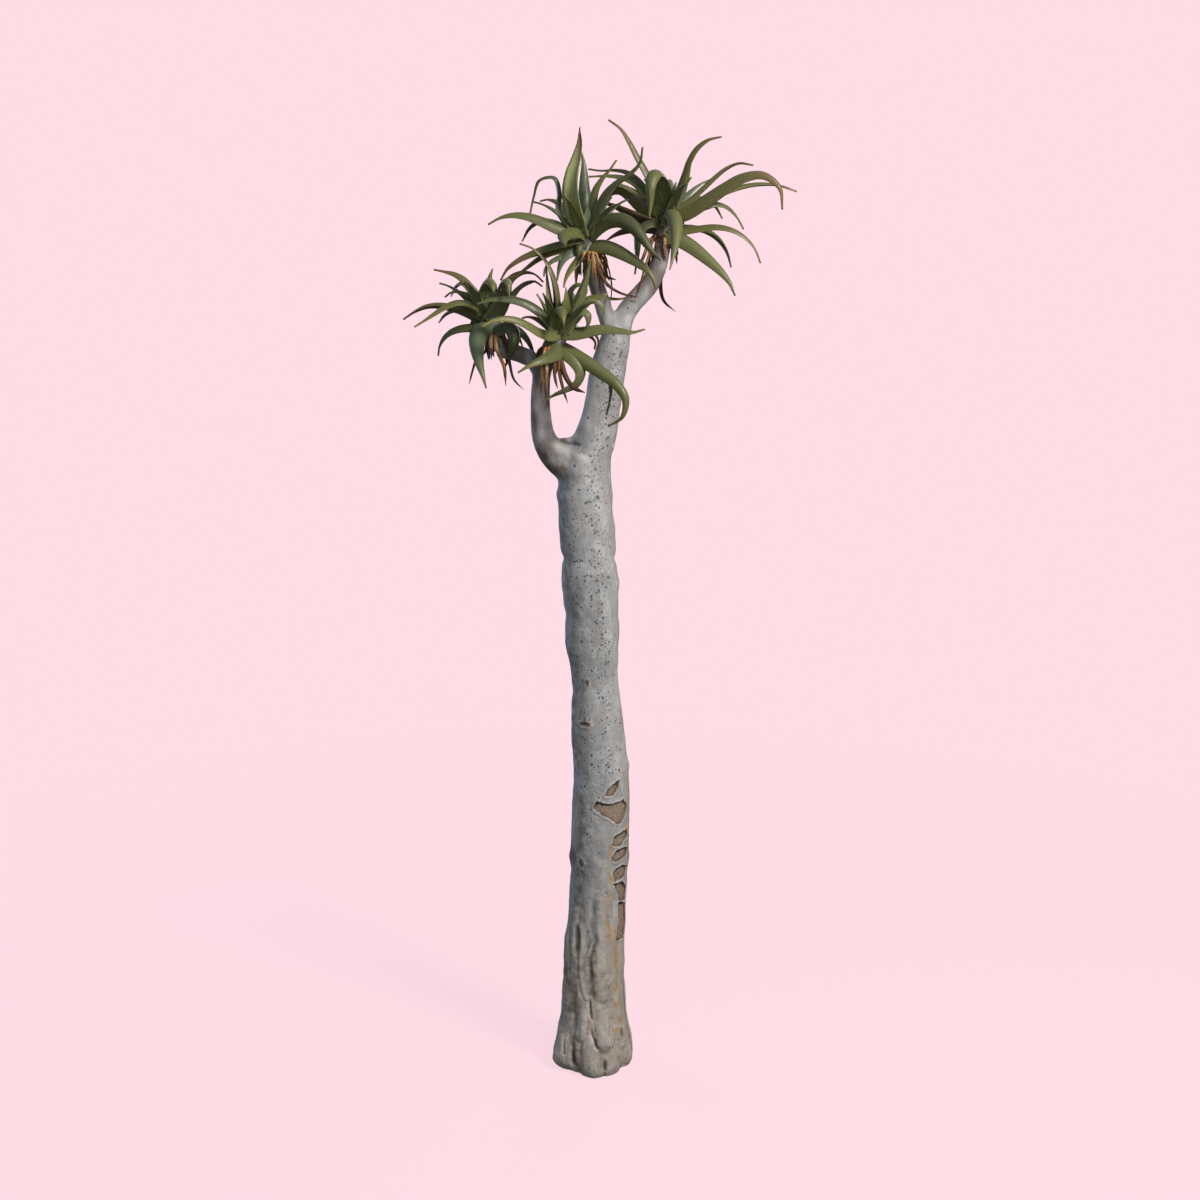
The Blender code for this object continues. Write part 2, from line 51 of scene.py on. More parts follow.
# Limb stations: sideways x, depth y, height z, radius, as in the solids.
MAIN_LINE = (
    (0.000, 0.000, 0.000, 0.106),
    (0.000, 0.000, 0.080, 0.102),
    (0.004, 0.000, 0.170, 0.088),
    (0.006, 0.000, 0.310, 0.085),
    (0.014, 0.000, 0.480, 0.079),
    (0.021, 0.000, 0.660, 0.080),
    (0.024, 0.000, 0.830, 0.076),
    (0.013, 0.000, 1.000, 0.070),
    (0.006, 0.000, 1.130, 0.064),
    (0.001, 0.000, 1.250, 0.073),
    (-0.012, 0.000, 1.500, 0.073),
    (-0.019, 0.000, 1.650, 0.070),
    (-0.009, 0.000, 1.727, 0.060),
    (0.012, 0.000, 1.784, 0.052),
    (0.028, 0.002, 1.860, 0.0475),
    (0.041, 0.005, 1.945, 0.047),
    (0.060, 0.009, 2.020, 0.040),
    (0.080, 0.014, 2.078, 0.029),
    (0.109, 0.020, 2.122, 0.0255),
    (0.145, 0.030, 2.160, 0.025),
    (0.165, 0.036, 2.195, 0.0235),
    (0.178, 0.043, 2.235, 0.0215),
    (0.182, 0.047, 2.268, 0.020),
)
LEFT_LINE = (
    (-0.019, 0.000, 1.665, 0.050),
    (-0.066, -0.008, 1.697, 0.042),
    (-0.104, -0.018, 1.736, 0.037),
    (-0.127, -0.030, 1.782, 0.030),
    (-0.133, -0.045, 1.850, 0.026),
    (-0.131, -0.060, 1.915, 0.0245),
    (-0.124, -0.079, 1.962, 0.0245),
    (-0.110, -0.092, 1.993, 0.0255),
)
SIDE_LINE = (
    (-0.128, -0.070, 1.945, 0.023),
    (-0.150, -0.062, 1.975, 0.022),
    (-0.177, -0.048, 1.989, 0.0215),
    (-0.205, -0.030, 1.996, 0.0205),
    (-0.230, -0.015, 2.001, 0.0205),
    (-0.238, -0.010, 2.019, 0.020),
)
MIDDLE_LINE = (
    (0.062, 0.004, 2.020, 0.027),
    (0.042, -0.004, 2.072, 0.0225),
    (0.016, -0.014, 2.153, 0.0205),
    (0.001, -0.022, 2.195, 0.020),
    (-0.003, -0.026, 2.218, 0.020),
)
# The web of bark between the left elbow and the right bough.
CROTCH_LINE = (
    (-0.100, -0.014, 1.738, 0.030),
    (-0.066, -0.007, 1.744, 0.030),
    (-0.026, 0.000, 1.742, 0.030),
)
LIMB_NODES = (
    "trunk", "right_bough", "right_limb", "middle_limb", "left_elbow", "left_bough", "left_limb",
)

SOURCE_STEP = 0.055      # between the rings of the solids
BARK_STEP = 0.012        # between the rings of the bark
BARK_SIDES = 72
BARK_VOXEL = 0.0049
BELOW_GROUND = 0.020     # the foot is grown this far down, then cut flat
CUT_TOLERANCE = 1e-6
FLAT_BELOW = 0.002       # faces lower than this that face straight down are the flat cut
STRAIGHT_DOWN = -0.99

# Root flare: buttress lobes round the foot, as a share of the radius, fading out at this height.
FLARE_HEIGHT = 0.26
FLARE_LOBES = 5
FLARE_DEPTH = 0.055
FLARE_FADE = 1.5
FLARE_TURN = 0.6

# The stem inside a crown: share of its length, and share of the limb's radius there.
STEM_LENGTH = 0.080
STEM_SHAPE = ((0.0, 1.0), (0.5, 1.02), (0.85, 0.9), (1.0, 0.5))
COLLAR = 0.030           # bare stem under the lowest leaves

# Where limbs part: centre, how far round it the skin is softened, and how many times over.
FORKS = (
    ((-0.055, -0.006, 1.715), 0.075, 8),
    ((0.062, 0.004, 2.055), 0.060, 10),
    ((-0.135, -0.068, 1.955), 0.045, 8),
    ((0.0, 0.0, 1.0), 2.5, 1),
)

# ---------------------------------------------------------------- marks on the bark

# Smooth noise: size of a lump, seed, and how far it is drawn out up the tree.
NOISES = {
    "stray": (0.060, 5.0, 1.0),
    "fine_stray": (0.022, 9.0, 1.0),
    "level": (0.050, 13.0, 1.0),
    "swell": (0.13, 31.0, 1.0),
    "strand": (0.034, 17.0, 4.0),
    "fine_strand": (0.014, 19.0, 3.0),
    "scar_turn": (0.012, 5.0, 1.0),
    "scar_level": (0.010, 8.0, 1.0),
}
# Patches that a mark comes and goes in: the same, then how much shows on the whole, and how far
# that rises and falls.
PATCHES = {
    "groove": (0.045, 53.0, 1.0, 0.75, 1.1),
    "rim": (0.020, 23.0, 1.0, 0.90, 1.2),
    "speck": (0.070, 27.0, 1.0, 1.00, 1.1),
    "older_and_shaded": (0.030, 41.0, 2.0, 0.75, 1.2),
    "weathering_and_shade": (0.014, 47.0, 1.0, 0.65, 1.3),
}
# Soft lumps everywhere: how far they stand out, their noise, and whether limbs have less of them.
LUMPS = (
    (0.0026, (0.085, 3.0, 1.3), True),
    (0.0011, (0.028, 7.0, 1.0), True),
    (0.0006, (0.011, 11.0, 0.6), False),
)
THIN_LIMB_LUMPS = 0.45   # of the height of the trunk's
TRUNK_REACH = 1.35       # radii from the middle within which bark counts as the trunk's
TRUNK_TOP = 2.10
FAR_OFF = 9.0            # further than any distance over the bark
FLAT = 1e-9              # in place of a climb of nought
FINE_BARK = (            # first and last heading, bottom and top of the bark with finer relief
    (244, 352, 0.37, 0.89),
    (196, 344, -1.00, 0.37),
)
FINE_BARK_AXIS = 0.015   # x of the middle of the trunk there

# Runs over the bark go through points given as degrees round the trunk (270 faces -Y) and height.
# Swells round the trunk: height, how far they stand out on the left and on the right, half height.
SWELLS = (
    (1.620, 0.004, 0.003, 0.016),
    (1.535, 0.002, 0.003, 0.022),
    (1.452, -0.008, -0.006, 0.014),
    (1.385, 0.003, 0.005, 0.020),
    (1.300, -0.005, -0.003, 0.018),
    (1.215, 0.003, -0.003, 0.024),
    (1.090, -0.003, 0.000, 0.020),
    (0.960, 0.002, 0.002, 0.030),
    (0.876, 0.000, 0.004, 0.016),
    (0.616, 0.003, 0.002, 0.016),
    (0.570, -0.003, -0.001, 0.014),
    (0.255, 0.000, -0.005, 0.026),
    (0.205, 0.001, -0.003, 0.026),
    (0.125, -0.004, 0.000, 0.022),
    (0.035, 0.005, 0.001, 0.022),
)
SWELL_TILT = 0.016       # how far a swell climbs and falls on its way round
SWELL_SPREAD = 0.8       # how much taller it grows toward the front and the back
FRONT_SWELL = 0.45       # of its depth, where it crosses the front and the back

# Ropes of wood that run down into the foot: points, half width at the top and at the foot, height.
ROPES = (
    (((237, 0.450), (245, 0.385), (240, 0.325), (244, 0.285), (252, 0.230)),
     (0.010, 0.013), 0.0050),
    (((284, 0.600), (280, 0.500), (277, 0.400), (281, 0.320), (291, 0.230)),
     (0.030, 0.026), 0.0062),
    (((306, 0.500), (302, 0.380), (307, 0.270), (300, 0.180)), (0.016, 0.022), 0.0050),
    (((222, 0.520), (219, 0.430), (226, 0.340), (236, 0.262), (245, 0.205)),
     (0.018, 0.020), 0.0058),
    (((262, 0.480), (266, 0.410), (260, 0.350)), (0.006, 0.009), 0.0040),
    (((196, 0.450), (203, 0.330), (210, 0.250), (213, 0.170), (210, 0.120)),
     (0.015, 0.022), 0.0060),
    (((243, 0.235), (247, 0.180), (248, 0.120)), (0.014, 0.022), 0.0090),
    (((262, 0.172), (264, 0.120), (266, 0.060), (268, 0.000)), (0.011, 0.040), 0.0095),
    (((292, 0.225), (288, 0.160), (293, 0.100)), (0.024, 0.030), 0.0095),
    (((322, 0.280), (324, 0.160), (327, 0.090)), (0.018, 0.030), 0.0062),
    (((306, 0.090), (309, 0.045), (308, 0.000)), (0.018, 0.036), 0.0115),
    (((342, 0.110), (348, 0.030), (350, 0.000)), (0.016, 0.030), 0.0085),
    (((213, 0.135), (211, 0.070), (205, 0.000)), (0.017, 0.034), 0.0120),
    (((184, 0.130), (181, 0.050), (178, 0.000)), (0.016, 0.028), 0.0085),
)
ROPE_BED = (0.0034, 0.0050)    # how far in the wood between them lies, high up and at the ground
ROPE_TOP = 0.62          # the bed starts below this height
BED_FADE = 0.30          # and is at its full depth this far below
BED_HEIGHT = 0.22        # it deepens toward the ground from here
ROPE_FADE = 0.12         # length over which a rope rises from its top end
ROPE_START = 0.20        # share of that rise which it starts with
STRAND_DEPTH = 0.0020    # fine strands over the ropes, and finer ones over those
FINE_STRAND_DEPTH = 0.0009
STRAND_TOP = 0.66
STRAND_FADE = 0.20
# More ropes round the rest of the foot, laid out by rule: heading of the first and the last, then
# the least and the most of what varies.
BACK_ROPES = (4, 164)
BACK_ROPE_COUNT = 8
BACK_ROPE_SEED = 21
BACK_ROPE_TOP = (0.22, 0.60)
BACK_ROPE_WIDTH = (0.017, 0.030)
BACK_ROPE_HEIGHT = (0.005, 0.011)
BACK_ROPE_TAPER = (0.6, 1.1)    # half width at the top and at the foot, of the width
BACK_ROPE_STEP = 0.06
BACK_ROPE_WANDER = 7            # degrees at each step down
# The lowest edge of the foot is rounded in, most under the lobe at this heading.
TUCK = 0.009
TUCK_HEIGHT = 0.032
TUCK_LOBE = (212, 24, 1.6)    # heading, half width in degrees, how many times more
DEEPEST_TUCK = 1.6       # heights of the tuck, under the ground too

# Grooves: points, half width, depth.
GROOVES = (
    (((271, 0.575), (265, 0.505), (263, 0.445), (269, 0.385), (262, 0.330), (267, 0.280),
      (272, 0.225)), 0.0085, 0.0046),
    (((229, 0.440), (233, 0.390), (230, 0.345)), 0.0070, 0.0060),
    (((262, 0.226), (261, 0.200), (264, 0.170)), 0.0036, 0.0090),
    (((266, 0.140), (273, 0.110), (281, 0.086)), 0.0040, 0.0105),
    (((290, 0.092), (288, 0.056), (290, 0.020)), 0.0044, 0.0105),
    (((298, 0.150), (297, 0.120)), 0.0022, 0.0040),
    (((233, 0.110), (236, 0.060), (243, 0.008)), 0.0085, 0.0095),
    (((219, 0.104), (221, 0.060)), 0.0030, 0.0050),
    (((236, 0.262), (230, 0.200), (231, 0.140), (234, 0.100)), 0.0045, 0.0046),
    (((184, 0.480), (191, 0.394), (201, 0.317), (216, 0.254)), 0.0060, 0.0035),
    (((298, 0.094), (306, 0.102), (326, 0.082)), 0.0040, 0.0040),
    (((266, 0.548), (274, 0.544), (282, 0.538), (288, 0.534)), 0.0024, 0.0036),
    (((330, 0.730), (343, 0.680), (347, 0.610), (345, 0.550)), 0.0030, 0.0018),
)
GROOVE_FADE = 10.0       # half widths over which a groove deepens from its top end
GROOVE_START = 0.30      # share of its depth there
DARK_DEPTH = 0.0085      # a groove this deep is filled with dirt and painted shade
WANDER = 4.0             # degrees that ropes and grooves stray from their points
FINE_WANDER = 0.5        # of that, once more on a smaller scale
LEVEL_WANDER = 0.006     # how far they stray up and down

# Places where the outer bark has peeled: corners as degrees round the trunk and height.
SCARS = (
    ((278, 0.812), (284, 0.830), (296, 0.843), (309, 0.851), (306, 0.832), (294, 0.812)),
    ((254, 0.776), (260, 0.799), (272, 0.790), (290, 0.787), (318, 0.794), (331, 0.776),
     (326, 0.745), (310, 0.729), (298, 0.734), (288, 0.748)),
    ((293, 0.670), (298, 0.692), (316, 0.700), (334, 0.704), (338, 0.682), (310, 0.664)),
    ((294, 0.634), (304, 0.650), (322, 0.654), (338, 0.650), (334, 0.632), (304, 0.620)),
    ((298, 0.584), (304, 0.600), (322, 0.604), (338, 0.596), (332, 0.572), (306, 0.564)),
    ((302, 0.556), (325, 0.556), (342, 0.530), (336, 0.498), (318, 0.506)),
    ((317, 0.500), (340, 0.486), (350, 0.430), (340, 0.384), (314, 0.388), (320, 0.440)),
    ((110, 0.700), (118, 0.716), (136, 0.712), (142, 0.694), (124, 0.676)),
    ((92, 0.620), (98, 0.640), (116, 0.636), (120, 0.606), (102, 0.596)),
    ((38, 0.940), (44, 0.956), (60, 0.952), (56, 0.930)),
)
SCAR_DEPTH = 0.0034
SCAR_ROUGH = (2.4, 0.003)    # how far its edge strays, in degrees and in height
SCAR_BANK = 0.0030       # width of the step down into a scar, and of the change of colour there
SCAR_EDGE = 0.0022
RIM_HALF = 0.0024        # half width of the brown rim
SCAR_LIP = 0.0018        # how far the skin stands up round a scar, how far out, and half its width
LIP_AT = 0.0040
LIP_HALF = 0.0035
# Painted shadow under the overhang of a scar's top edge: width of its near edge, how far in it
# reaches, width of its far edge, how far down it reaches, and how softly it ends there.
OVERHANG = (0.0015, 0.0075, 0.004, 0.022, 0.012)

# Knots left by lost limbs: degrees round, height, half width, half height, share of the full
# relief.
KNOTS = (
    (251, 1.122, 0.006, 0.011, 0.8),
    (243, 1.010, 0.017, 0.0075, 1.0),
    (206, 0.620, 0.020, 0.022, 0.6),
    (232, 0.616, 0.009, 0.014, 0.5),
    (324, 0.114, 0.008, 0.014, 0.8),
    (313, 0.049, 0.005, 0.005, 0.5),
    (60, 1.260, 0.014, 0.008, 1.0),
    (130, 0.900, 0.015, 0.008, 1.0),
    (20, 1.480, 0.007, 0.010, 0.8),
    (95, 0.420, 0.013, 0.014, 0.9),
)
KNOT_HEIGHT = 0.0030
# The ring, the hollow, the brown round it and the dirt and painted shade in its hollow: middle and
# half width, in shares of the knot, then how strong the colours are.
KNOT_RING = (1.1, 0.35)
KNOT_HOLLOW = 0.7
KNOT_BROWN = (0.75, 0.28, 0.9)
KNOT_DIRT_AND_SHADE = (0.62, 0.85)

# Golden stains that seep down from the peeled places: points and half width.
STAINS = (
    (((292, 0.530), (294, 0.455), (299, 0.396)), 0.009),
    (((306, 0.420), (313, 0.373), (317, 0.271), (325, 0.163), (314, 0.120)), 0.012),
    (((322, 0.866), (336, 0.840), (337, 0.780), (331, 0.745)), 0.009),
    (((325, 0.720), (345, 0.690), (346, 0.620), (340, 0.560)), 0.007),
    (((290, 0.680), (291, 0.600), (296, 0.560)), 0.007),
    (((318, 0.125), (326, 0.105)), 0.010),
    (((305, 0.050), (316, 0.045)), 0.010),
    (((120, 0.660), (126, 0.600), (124, 0.520)), 0.010),
)
# Grey-brown weathering, partly painted shade, most of all on the trunk's left side: points, half
# width, strength.
SHADES = (
    (((200, 0.640), (222, 0.622), (236, 0.612)), 0.024, 1.0),
    (((200, 1.640), (214, 1.560), (206, 1.460), (216, 1.380)), 0.020, 0.7),
    (((206, 1.240), (214, 1.120), (204, 1.000), (212, 0.880)), 0.022, 0.8),
    (((232, 1.060), (240, 1.020), (236, 0.960)), 0.012, 0.6),
    (((228, 0.800), (234, 0.720), (226, 0.660)), 0.014, 0.7),
    (((230, 0.590), (224, 0.480), (232, 0.400)), 0.022, 0.8),
    (((236, 0.360), (244, 0.320), (240, 0.290)), 0.016, 0.9),
    (((205, 0.300), (215, 0.210), (222, 0.150)), 0.020, 0.9),
    (((262, 0.400), (266, 0.300), (268, 0.230)), 0.012, 0.9),
    (((234, 0.100), (240, 0.050), (246, 0.010)), 0.013, 1.0),
    (((272, 0.110), (284, 0.070), (290, 0.010)), 0.010, 0.8),
    (((290, 0.300), (296, 0.260), (300, 0.200)), 0.014, 0.4),
    (((225, 1.480), (214, 1.380), (222, 1.300)), 0.016, 0.5),
    (((60, 0.700), (74, 0.520), (66, 0.360)), 0.024, 0.8),
    (((140, 0.520), (128, 0.380), (134, 0.240)), 0.022, 0.8),
    (((20, 0.260), (34, 0.140), (30, 0.040)), 0.020, 0.8),
    (((100, 1.420), (112, 1.300), (104, 1.180)), 0.020, 0.5),
)
# Where the bark is warm in tone: from this height down, over this length.
WARM_TOP = 0.62
WARM_FADE = 0.35
# Older wood, darkened partly as weathering and partly as painted shade: x and height from which the
# left limbs are, height from which the right limb is, and how softly each begins.
OLDER_AND_SHADED_WOOD = (-0.045, 1.66, 2.10)
OLDER_AND_SHADED_FADE = (0.03, 0.03, 0.06)
# Hollows darkened with dirt and painted shade: how many rounds the skin is evened out, and how deep
# below that is deep.
HOLLOWS = ((6, 0.0009), (40, 0.0030))
HOLLOW_DIRT_AND_SHADE = (0.25, 0.62)    # depth at which the dirt and painted shade begin, and their strength
CREST_HIGHLIGHT = (0.20, 0.55)     # height at which a crest gets a painted highlight, and how strong it is
# Lines down the trunk where grey specks crowd, with the share that each is crowded.
SPECK_LINES = (
    (((295, 2.040), (293, 1.900), (296, 1.797), (286, 1.700), (290, 1.620), (291, 1.512),
      (287, 1.379), (290, 1.215), (297, 1.076), (290, 0.885), (286, 0.800)), 1.0),
    (((240, 1.640), (246, 1.420), (238, 1.240), (244, 0.980), (236, 0.720)), 0.55),
    (((40, 1.900), (64, 1.500), (52, 1.200), (66, 0.800)), 0.7),
    (((150, 1.600), (138, 1.300), (146, 1.000)), 0.7),
)
SPECK_CROWD = ((0.92, 0.017), (0.34, 0.045))    # share and half width of the crowd along a line
STRAY_SPECKS = 0.035     # share of the specks that shows everywhere

# Forms on the side of the head and boughs that faces -Y: points as x and height, half width, how
# far they stand out, and the mark they leave, if any, with its strength: painted highlights,
# painted shade, rims and specks.
HEAD_FORMS = (
    # The crotch: painted shade in its crease, painted highlights on the bulges below it.
    (((-0.078, 1.770), (-0.062, 1.763), (-0.036, 1.760)), 0.0045, -0.0050, "dirt_and_shade", 0.35),
    (((-0.084, 1.780), (-0.066, 1.775), (-0.046, 1.779)), 0.0070, 0.0030, "painted_highlight", 0.6),
    (((-0.092, 1.754), (-0.062, 1.740), (-0.026, 1.724)), 0.0140, 0.0045, "painted_highlight", 0.7),
    # Painted shade under the left elbow.
    (((-0.128, 1.738), (-0.110, 1.706), (-0.084, 1.684), (-0.046, 1.674)),
     0.0180, 0.0, "dirt_and_shade", 0.38),
    (((-0.078, 1.698), (-0.072, 1.694)), 0.0070, -0.0006, "rim", 0.7),
    (((-0.124, 1.730), (-0.121, 1.722)), 0.0050, -0.0012, "rim", 0.8),
    (((-0.140, 1.750), (-0.134, 1.722), (-0.112, 1.694)), 0.0100, 0.0020, None, 0.0),
    (((0.055, 1.752), (0.057, 1.742)), 0.0060, 0.0040, None, 0.0),
    (((0.098, 2.126), (0.110, 2.122)), 0.0022, -0.0030, "dirt_and_shade", 0.9),
    (((0.011, 1.906), (0.013, 1.902)), 0.0050, -0.0010, "speck", 1.0),
    # Painted highlight on the right bough's left side.
    (((0.002, 1.930), (-0.006, 1.870), (-0.018, 1.815)), 0.0190, 0.0, "painted_highlight", 0.65),
    # Painted shade on the left limb, under the right bough.
    (((-0.112, 1.810), (-0.108, 1.775), (-0.106, 1.750)), 0.0150, 0.0, "dirt_and_shade", 0.40),
    (((0.021, 1.936), (0.024, 1.932)), 0.0045, -0.0010, "speck", 1.0),
    (((-0.115, 1.712), (-0.080, 1.676), (-0.056, 1.656)), 0.0160, 0.0, "speck", 0.55),
    (((0.036, 2.030), (0.064, 1.985), (0.090, 1.940)), 0.0220, 0.0, "speck", 0.75),
)
HEAD_FRONT = 2.5         # how soon they fade where the bark turns away

# ---------------------------------------------------------------- leaves

LEAF_STATIONS = 8        # in the solids
DEAD_STATIONS = 6
ROOT_REACH = 0.010       # a leaf's run starts this far out from the middle of the stem
LEAF_THICKNESS = 0.26    # of its width, at the keel
LEAF_DISH = 0.26         # height of the margins over the middle, of the width
KEEL_DROP = 0.18         # depth of the keel under the middle, of the width
KEEL_FLAT = 0.20
THINNEST_LEAF = 0.0036
LEAF_TIP = 0.10
CLEARANCE = 0.0025       # a leaf comes no nearer than this to a limb or to another crown
BLADE_WIDTH = 0.92       # of the solid leaf's width, which is drawn full to hold the margins
BLADE_TAPER = 0.88       # under 1, it stays full for longer and comes to a blunter point
NARROWEST_BLADE = 0.0030
THINNEST_BLADE = 0.0110  # width of the leaf whose thickness the tip keeps
BELLY = (9, 0.49, 2.6)   # points across the underside, how far out they go, and how full it is
CHANNEL = (7, 0.50, 1.7)
MARGIN_DROP = 0.02       # how far the underside ends below the margins, of the width
FINE_STATIONS = 44
FINE_STRIP = 28
TOOTH = 0.0005           # marginal teeth, one to every other station
LEAF_TWIST = 9           # degrees a leaf may turn on its own way out
DEAD_TWIST = 70
STRIP_WIDTH = 1.05       # of the strip's share of the solid's width
STRIP_TAPER = (0.70, 0.30)    # width at both ends, and how much more it has half way
STRIP_END = (1.03, 0.15)      # it would come to a point there, over this share of its length
THINNEST_STRIP = 0.0020
STRIP_CURL = (7, 1.8)    # points across, and how sharply it curls
STRIP_SKIN = 0.10        # thickness, of the width
TORN_WIDTH = 0.010       # a wide dead leaf is torn lengthwise into strips of about this width
TORN_FAN = 1.9           # how far the strips part, of the width of the leaf
TORN_ROOT = (0.35, 0.65)      # share of that at the root, and how much more at the end
TORN_LENGTH = (0.55, 0.95)    # of the leaf's, for all but the first strip

# Leaves, each row holding root height above the collar, heading at root and tip (degrees in plan,
# 0 to +X, 270 to -Y), rise above level from root to tip, length, width, roll at root and tip, and
# tint.
RIGHT_LEAVES = (
    (0.045, (173, 175), (81, 66, 57, 64, 24), 0.282, 0.046, (10, -25), "bronze"),
    (0.045, (259, 240), (76, 47, 23, -105, -82), 0.287, 0.066, (0, 10), "green"),
    (0.045, (325, 345), (66, 62, 79, 41, -1), 0.254, 0.056, (0, 30), "olive"),
    (0.045, (10, 10), (32, 39, 45, 32, -24), 0.266, 0.040, (0, -20), "olive"),
    (0.045, (332, 351), (3, 34, 31, 24, -43, -105), 0.382, 0.064, (35, 25), "bronze"),
    (0.045, (12, 5), (18, 25, 20, 0, -25), 0.354, 0.046, (0, -15), "olive"),
    (0.039, (22, 12), (11, 21, 16, -44, -65), 0.242, 0.048, (0, 10), "green"),
    (0.012, (349, 358), (-17, 15, -7, -43, -76), 0.284, 0.046, (5, 0), "olive"),
    (-0.005, (332, 337), (-2, -32, -39, -45, -75), 0.256, 0.058, (25, 30), "fresh"),
    (0.015, (296, 242), (84, -14, -54, -54, -60), 0.260, 0.050, (0, 0), "fresh"),
    (0.045, (172, 164), (22, 39, 40, -68, -89), 0.232, 0.060, (45, 20), "bronze"),
    (0.045, (157, 165), (48, 59, 17, -2, -3), 0.261, 0.044, (-15, 0), "green"),
    (0.045, (149, 158), (49, 59, 36, -10, 14), 0.264, 0.038, (0, 0), "olive"),
    (0.025, (176, 167), (11, 21, 25, 19, 1), 0.183, 0.044, (35, 20), "brown"),
    (0.018, (203, 200), (24, -17, -97, -86, -82), 0.180, 0.052, (0, 20), "deep"),
    (0.012, (164, 159), (10, 2, -12, -26, -37), 0.158, 0.044, (30, 20), "brown"),
)
MIDDLE_LEAVES = (
    (0.045, (231, 245), (71, 56, 80, 121, 114, 76), 0.279, 0.062, (0, 0), "russet"),
    (0.045, (84, 122), (47, 60, 78, 91, 55), 0.229, 0.050, (0, 0), "bloom"),
    (0.045, (190, 194), (45, 26, 104, 104, -46, -85, -71), 0.290, 0.034, (0, 0), "deep"),
    (0.045, (192, 184), (17, 21, 22, -8, -37), 0.251, 0.054, (-30, -10), "green"),
    (0.044, (225, 288), (32, -5, -11, -23, -30), 0.179, 0.056, (-20, 0), "green"),
    (0.028, (192, 184), (-8, -9, -20, -29, -71), 0.242, 0.062, (25, -10), "bronze"),
    (0.019, (180, 180), (-9, -11, -29, -43, -10), 0.220, 0.048, (0, 0), "olive"),
    (0.010, (204, 197), (-8, -23, -14, -41, -95), 0.140, 0.042, (0, 0), "bloom"),
    (0.012, (210, 205), (-5, -16, -44, -78, -86), 0.127, 0.042, (-20, 0), "bloom"),
    (0.003, (232, 215), (-22, -37, -41, -61, -84), 0.125, 0.040, (10, 0), "yellow"),
    (0.018, (239, 248), (37, -28, -105, -112, -112), 0.110, 0.026, (-20, 0), "deep"),
    (0.045, (322, 335), (45, 25, -33, -58, -39), 0.267, 0.060, (45, 45), "deep"),
    (0.018, (326, 337), (16, -18, -29, -35, -90), 0.235, 0.052, (40, 30), "fresh"),
    (0.045, (326, 344), (68, 70, 55, 25, 38, 102), 0.268, 0.056, (25, 10), "deep"),
    (0.045, (10, 4), (90, 88, 74, 42, 58), 0.205, 0.050, (20, 0), "green"),
)
FRONT_LEAVES = (
    (0.045, (199, 193), (56, 44, 15, -2, -27), 0.235, 0.052, (-15, -20), "deep"),
    (0.045, (230, 197), (-30, 27, 28, -4, -37), 0.233, 0.050, (-20, -20), "yellow"),
    (0.045, (169, 169), (32, 31, 28, 11, -25), 0.095, 0.040, (30, 0), "olive"),
    (0.045, (172, 178), (81, 79, 83, 88), 0.162, 0.044, (0, 0), "green"),
    (0.045, (196, 184), (104, 89, 74, 49, 10), 0.256, 0.042, (0, 0), "olive"),
    (0.045, (293, 290), (47, 69, 104), 0.116, 0.036, (0, 0), "olive"),
    (0.045, (5, -11), (82, 74, 96, -5, -142), 0.174, 0.052, (10, 0), "green"),
    (0.045, (328, 321), (54, 61, 65, 65, 76), 0.195, 0.058, (0, 15), "fresh"),
    (0.045, (353, 351), (50, 54, 52, -46, -124), 0.174, 0.056, (20, 10), "fresh"),
    (0.045, (333, 327), (37, 49, 43, -88, -135), 0.135, 0.060, (20, 0), "fresh"),
    (0.045, (355, 358), (56, 62, 42, -21, 0, 69), 0.230, 0.038, (0, 0), "olive"),
    (0.045, (344, 351), (-14, 15, 1, -17, 26), 0.212, 0.052, (30, 15), "fresh"),
    (0.004, (340, 339), (-22, -28, -34, -38, -109, -170), 0.329, 0.050, (40, 40), "green"),
    (0.003, (351, 350), (-24, -27, -29, -99, -105), 0.254, 0.044, (0, 0), "deep"),
    (-0.003, (329, 378), (-18, -33, -63, -156, -163, -146), 0.234, 0.050, (15, 30), "green"),
    (0.012, (280, 192), (-41, -16, -9, -21, -36), 0.189, 0.052, (-20, -20), "green"),
    (0.043, (13, 10), (-25, -6, -3, -45, -126), 0.111, 0.034, (0, 0), "olive"),
    (0.045, (10, 4), (-19, 5, 1, -74, -120), 0.128, 0.034, (0, 0), "yellow"),
    (0.045, (269, 287), (75, 49, 15, -38, -93), 0.153, 0.058, (0, 0), "green"),
)
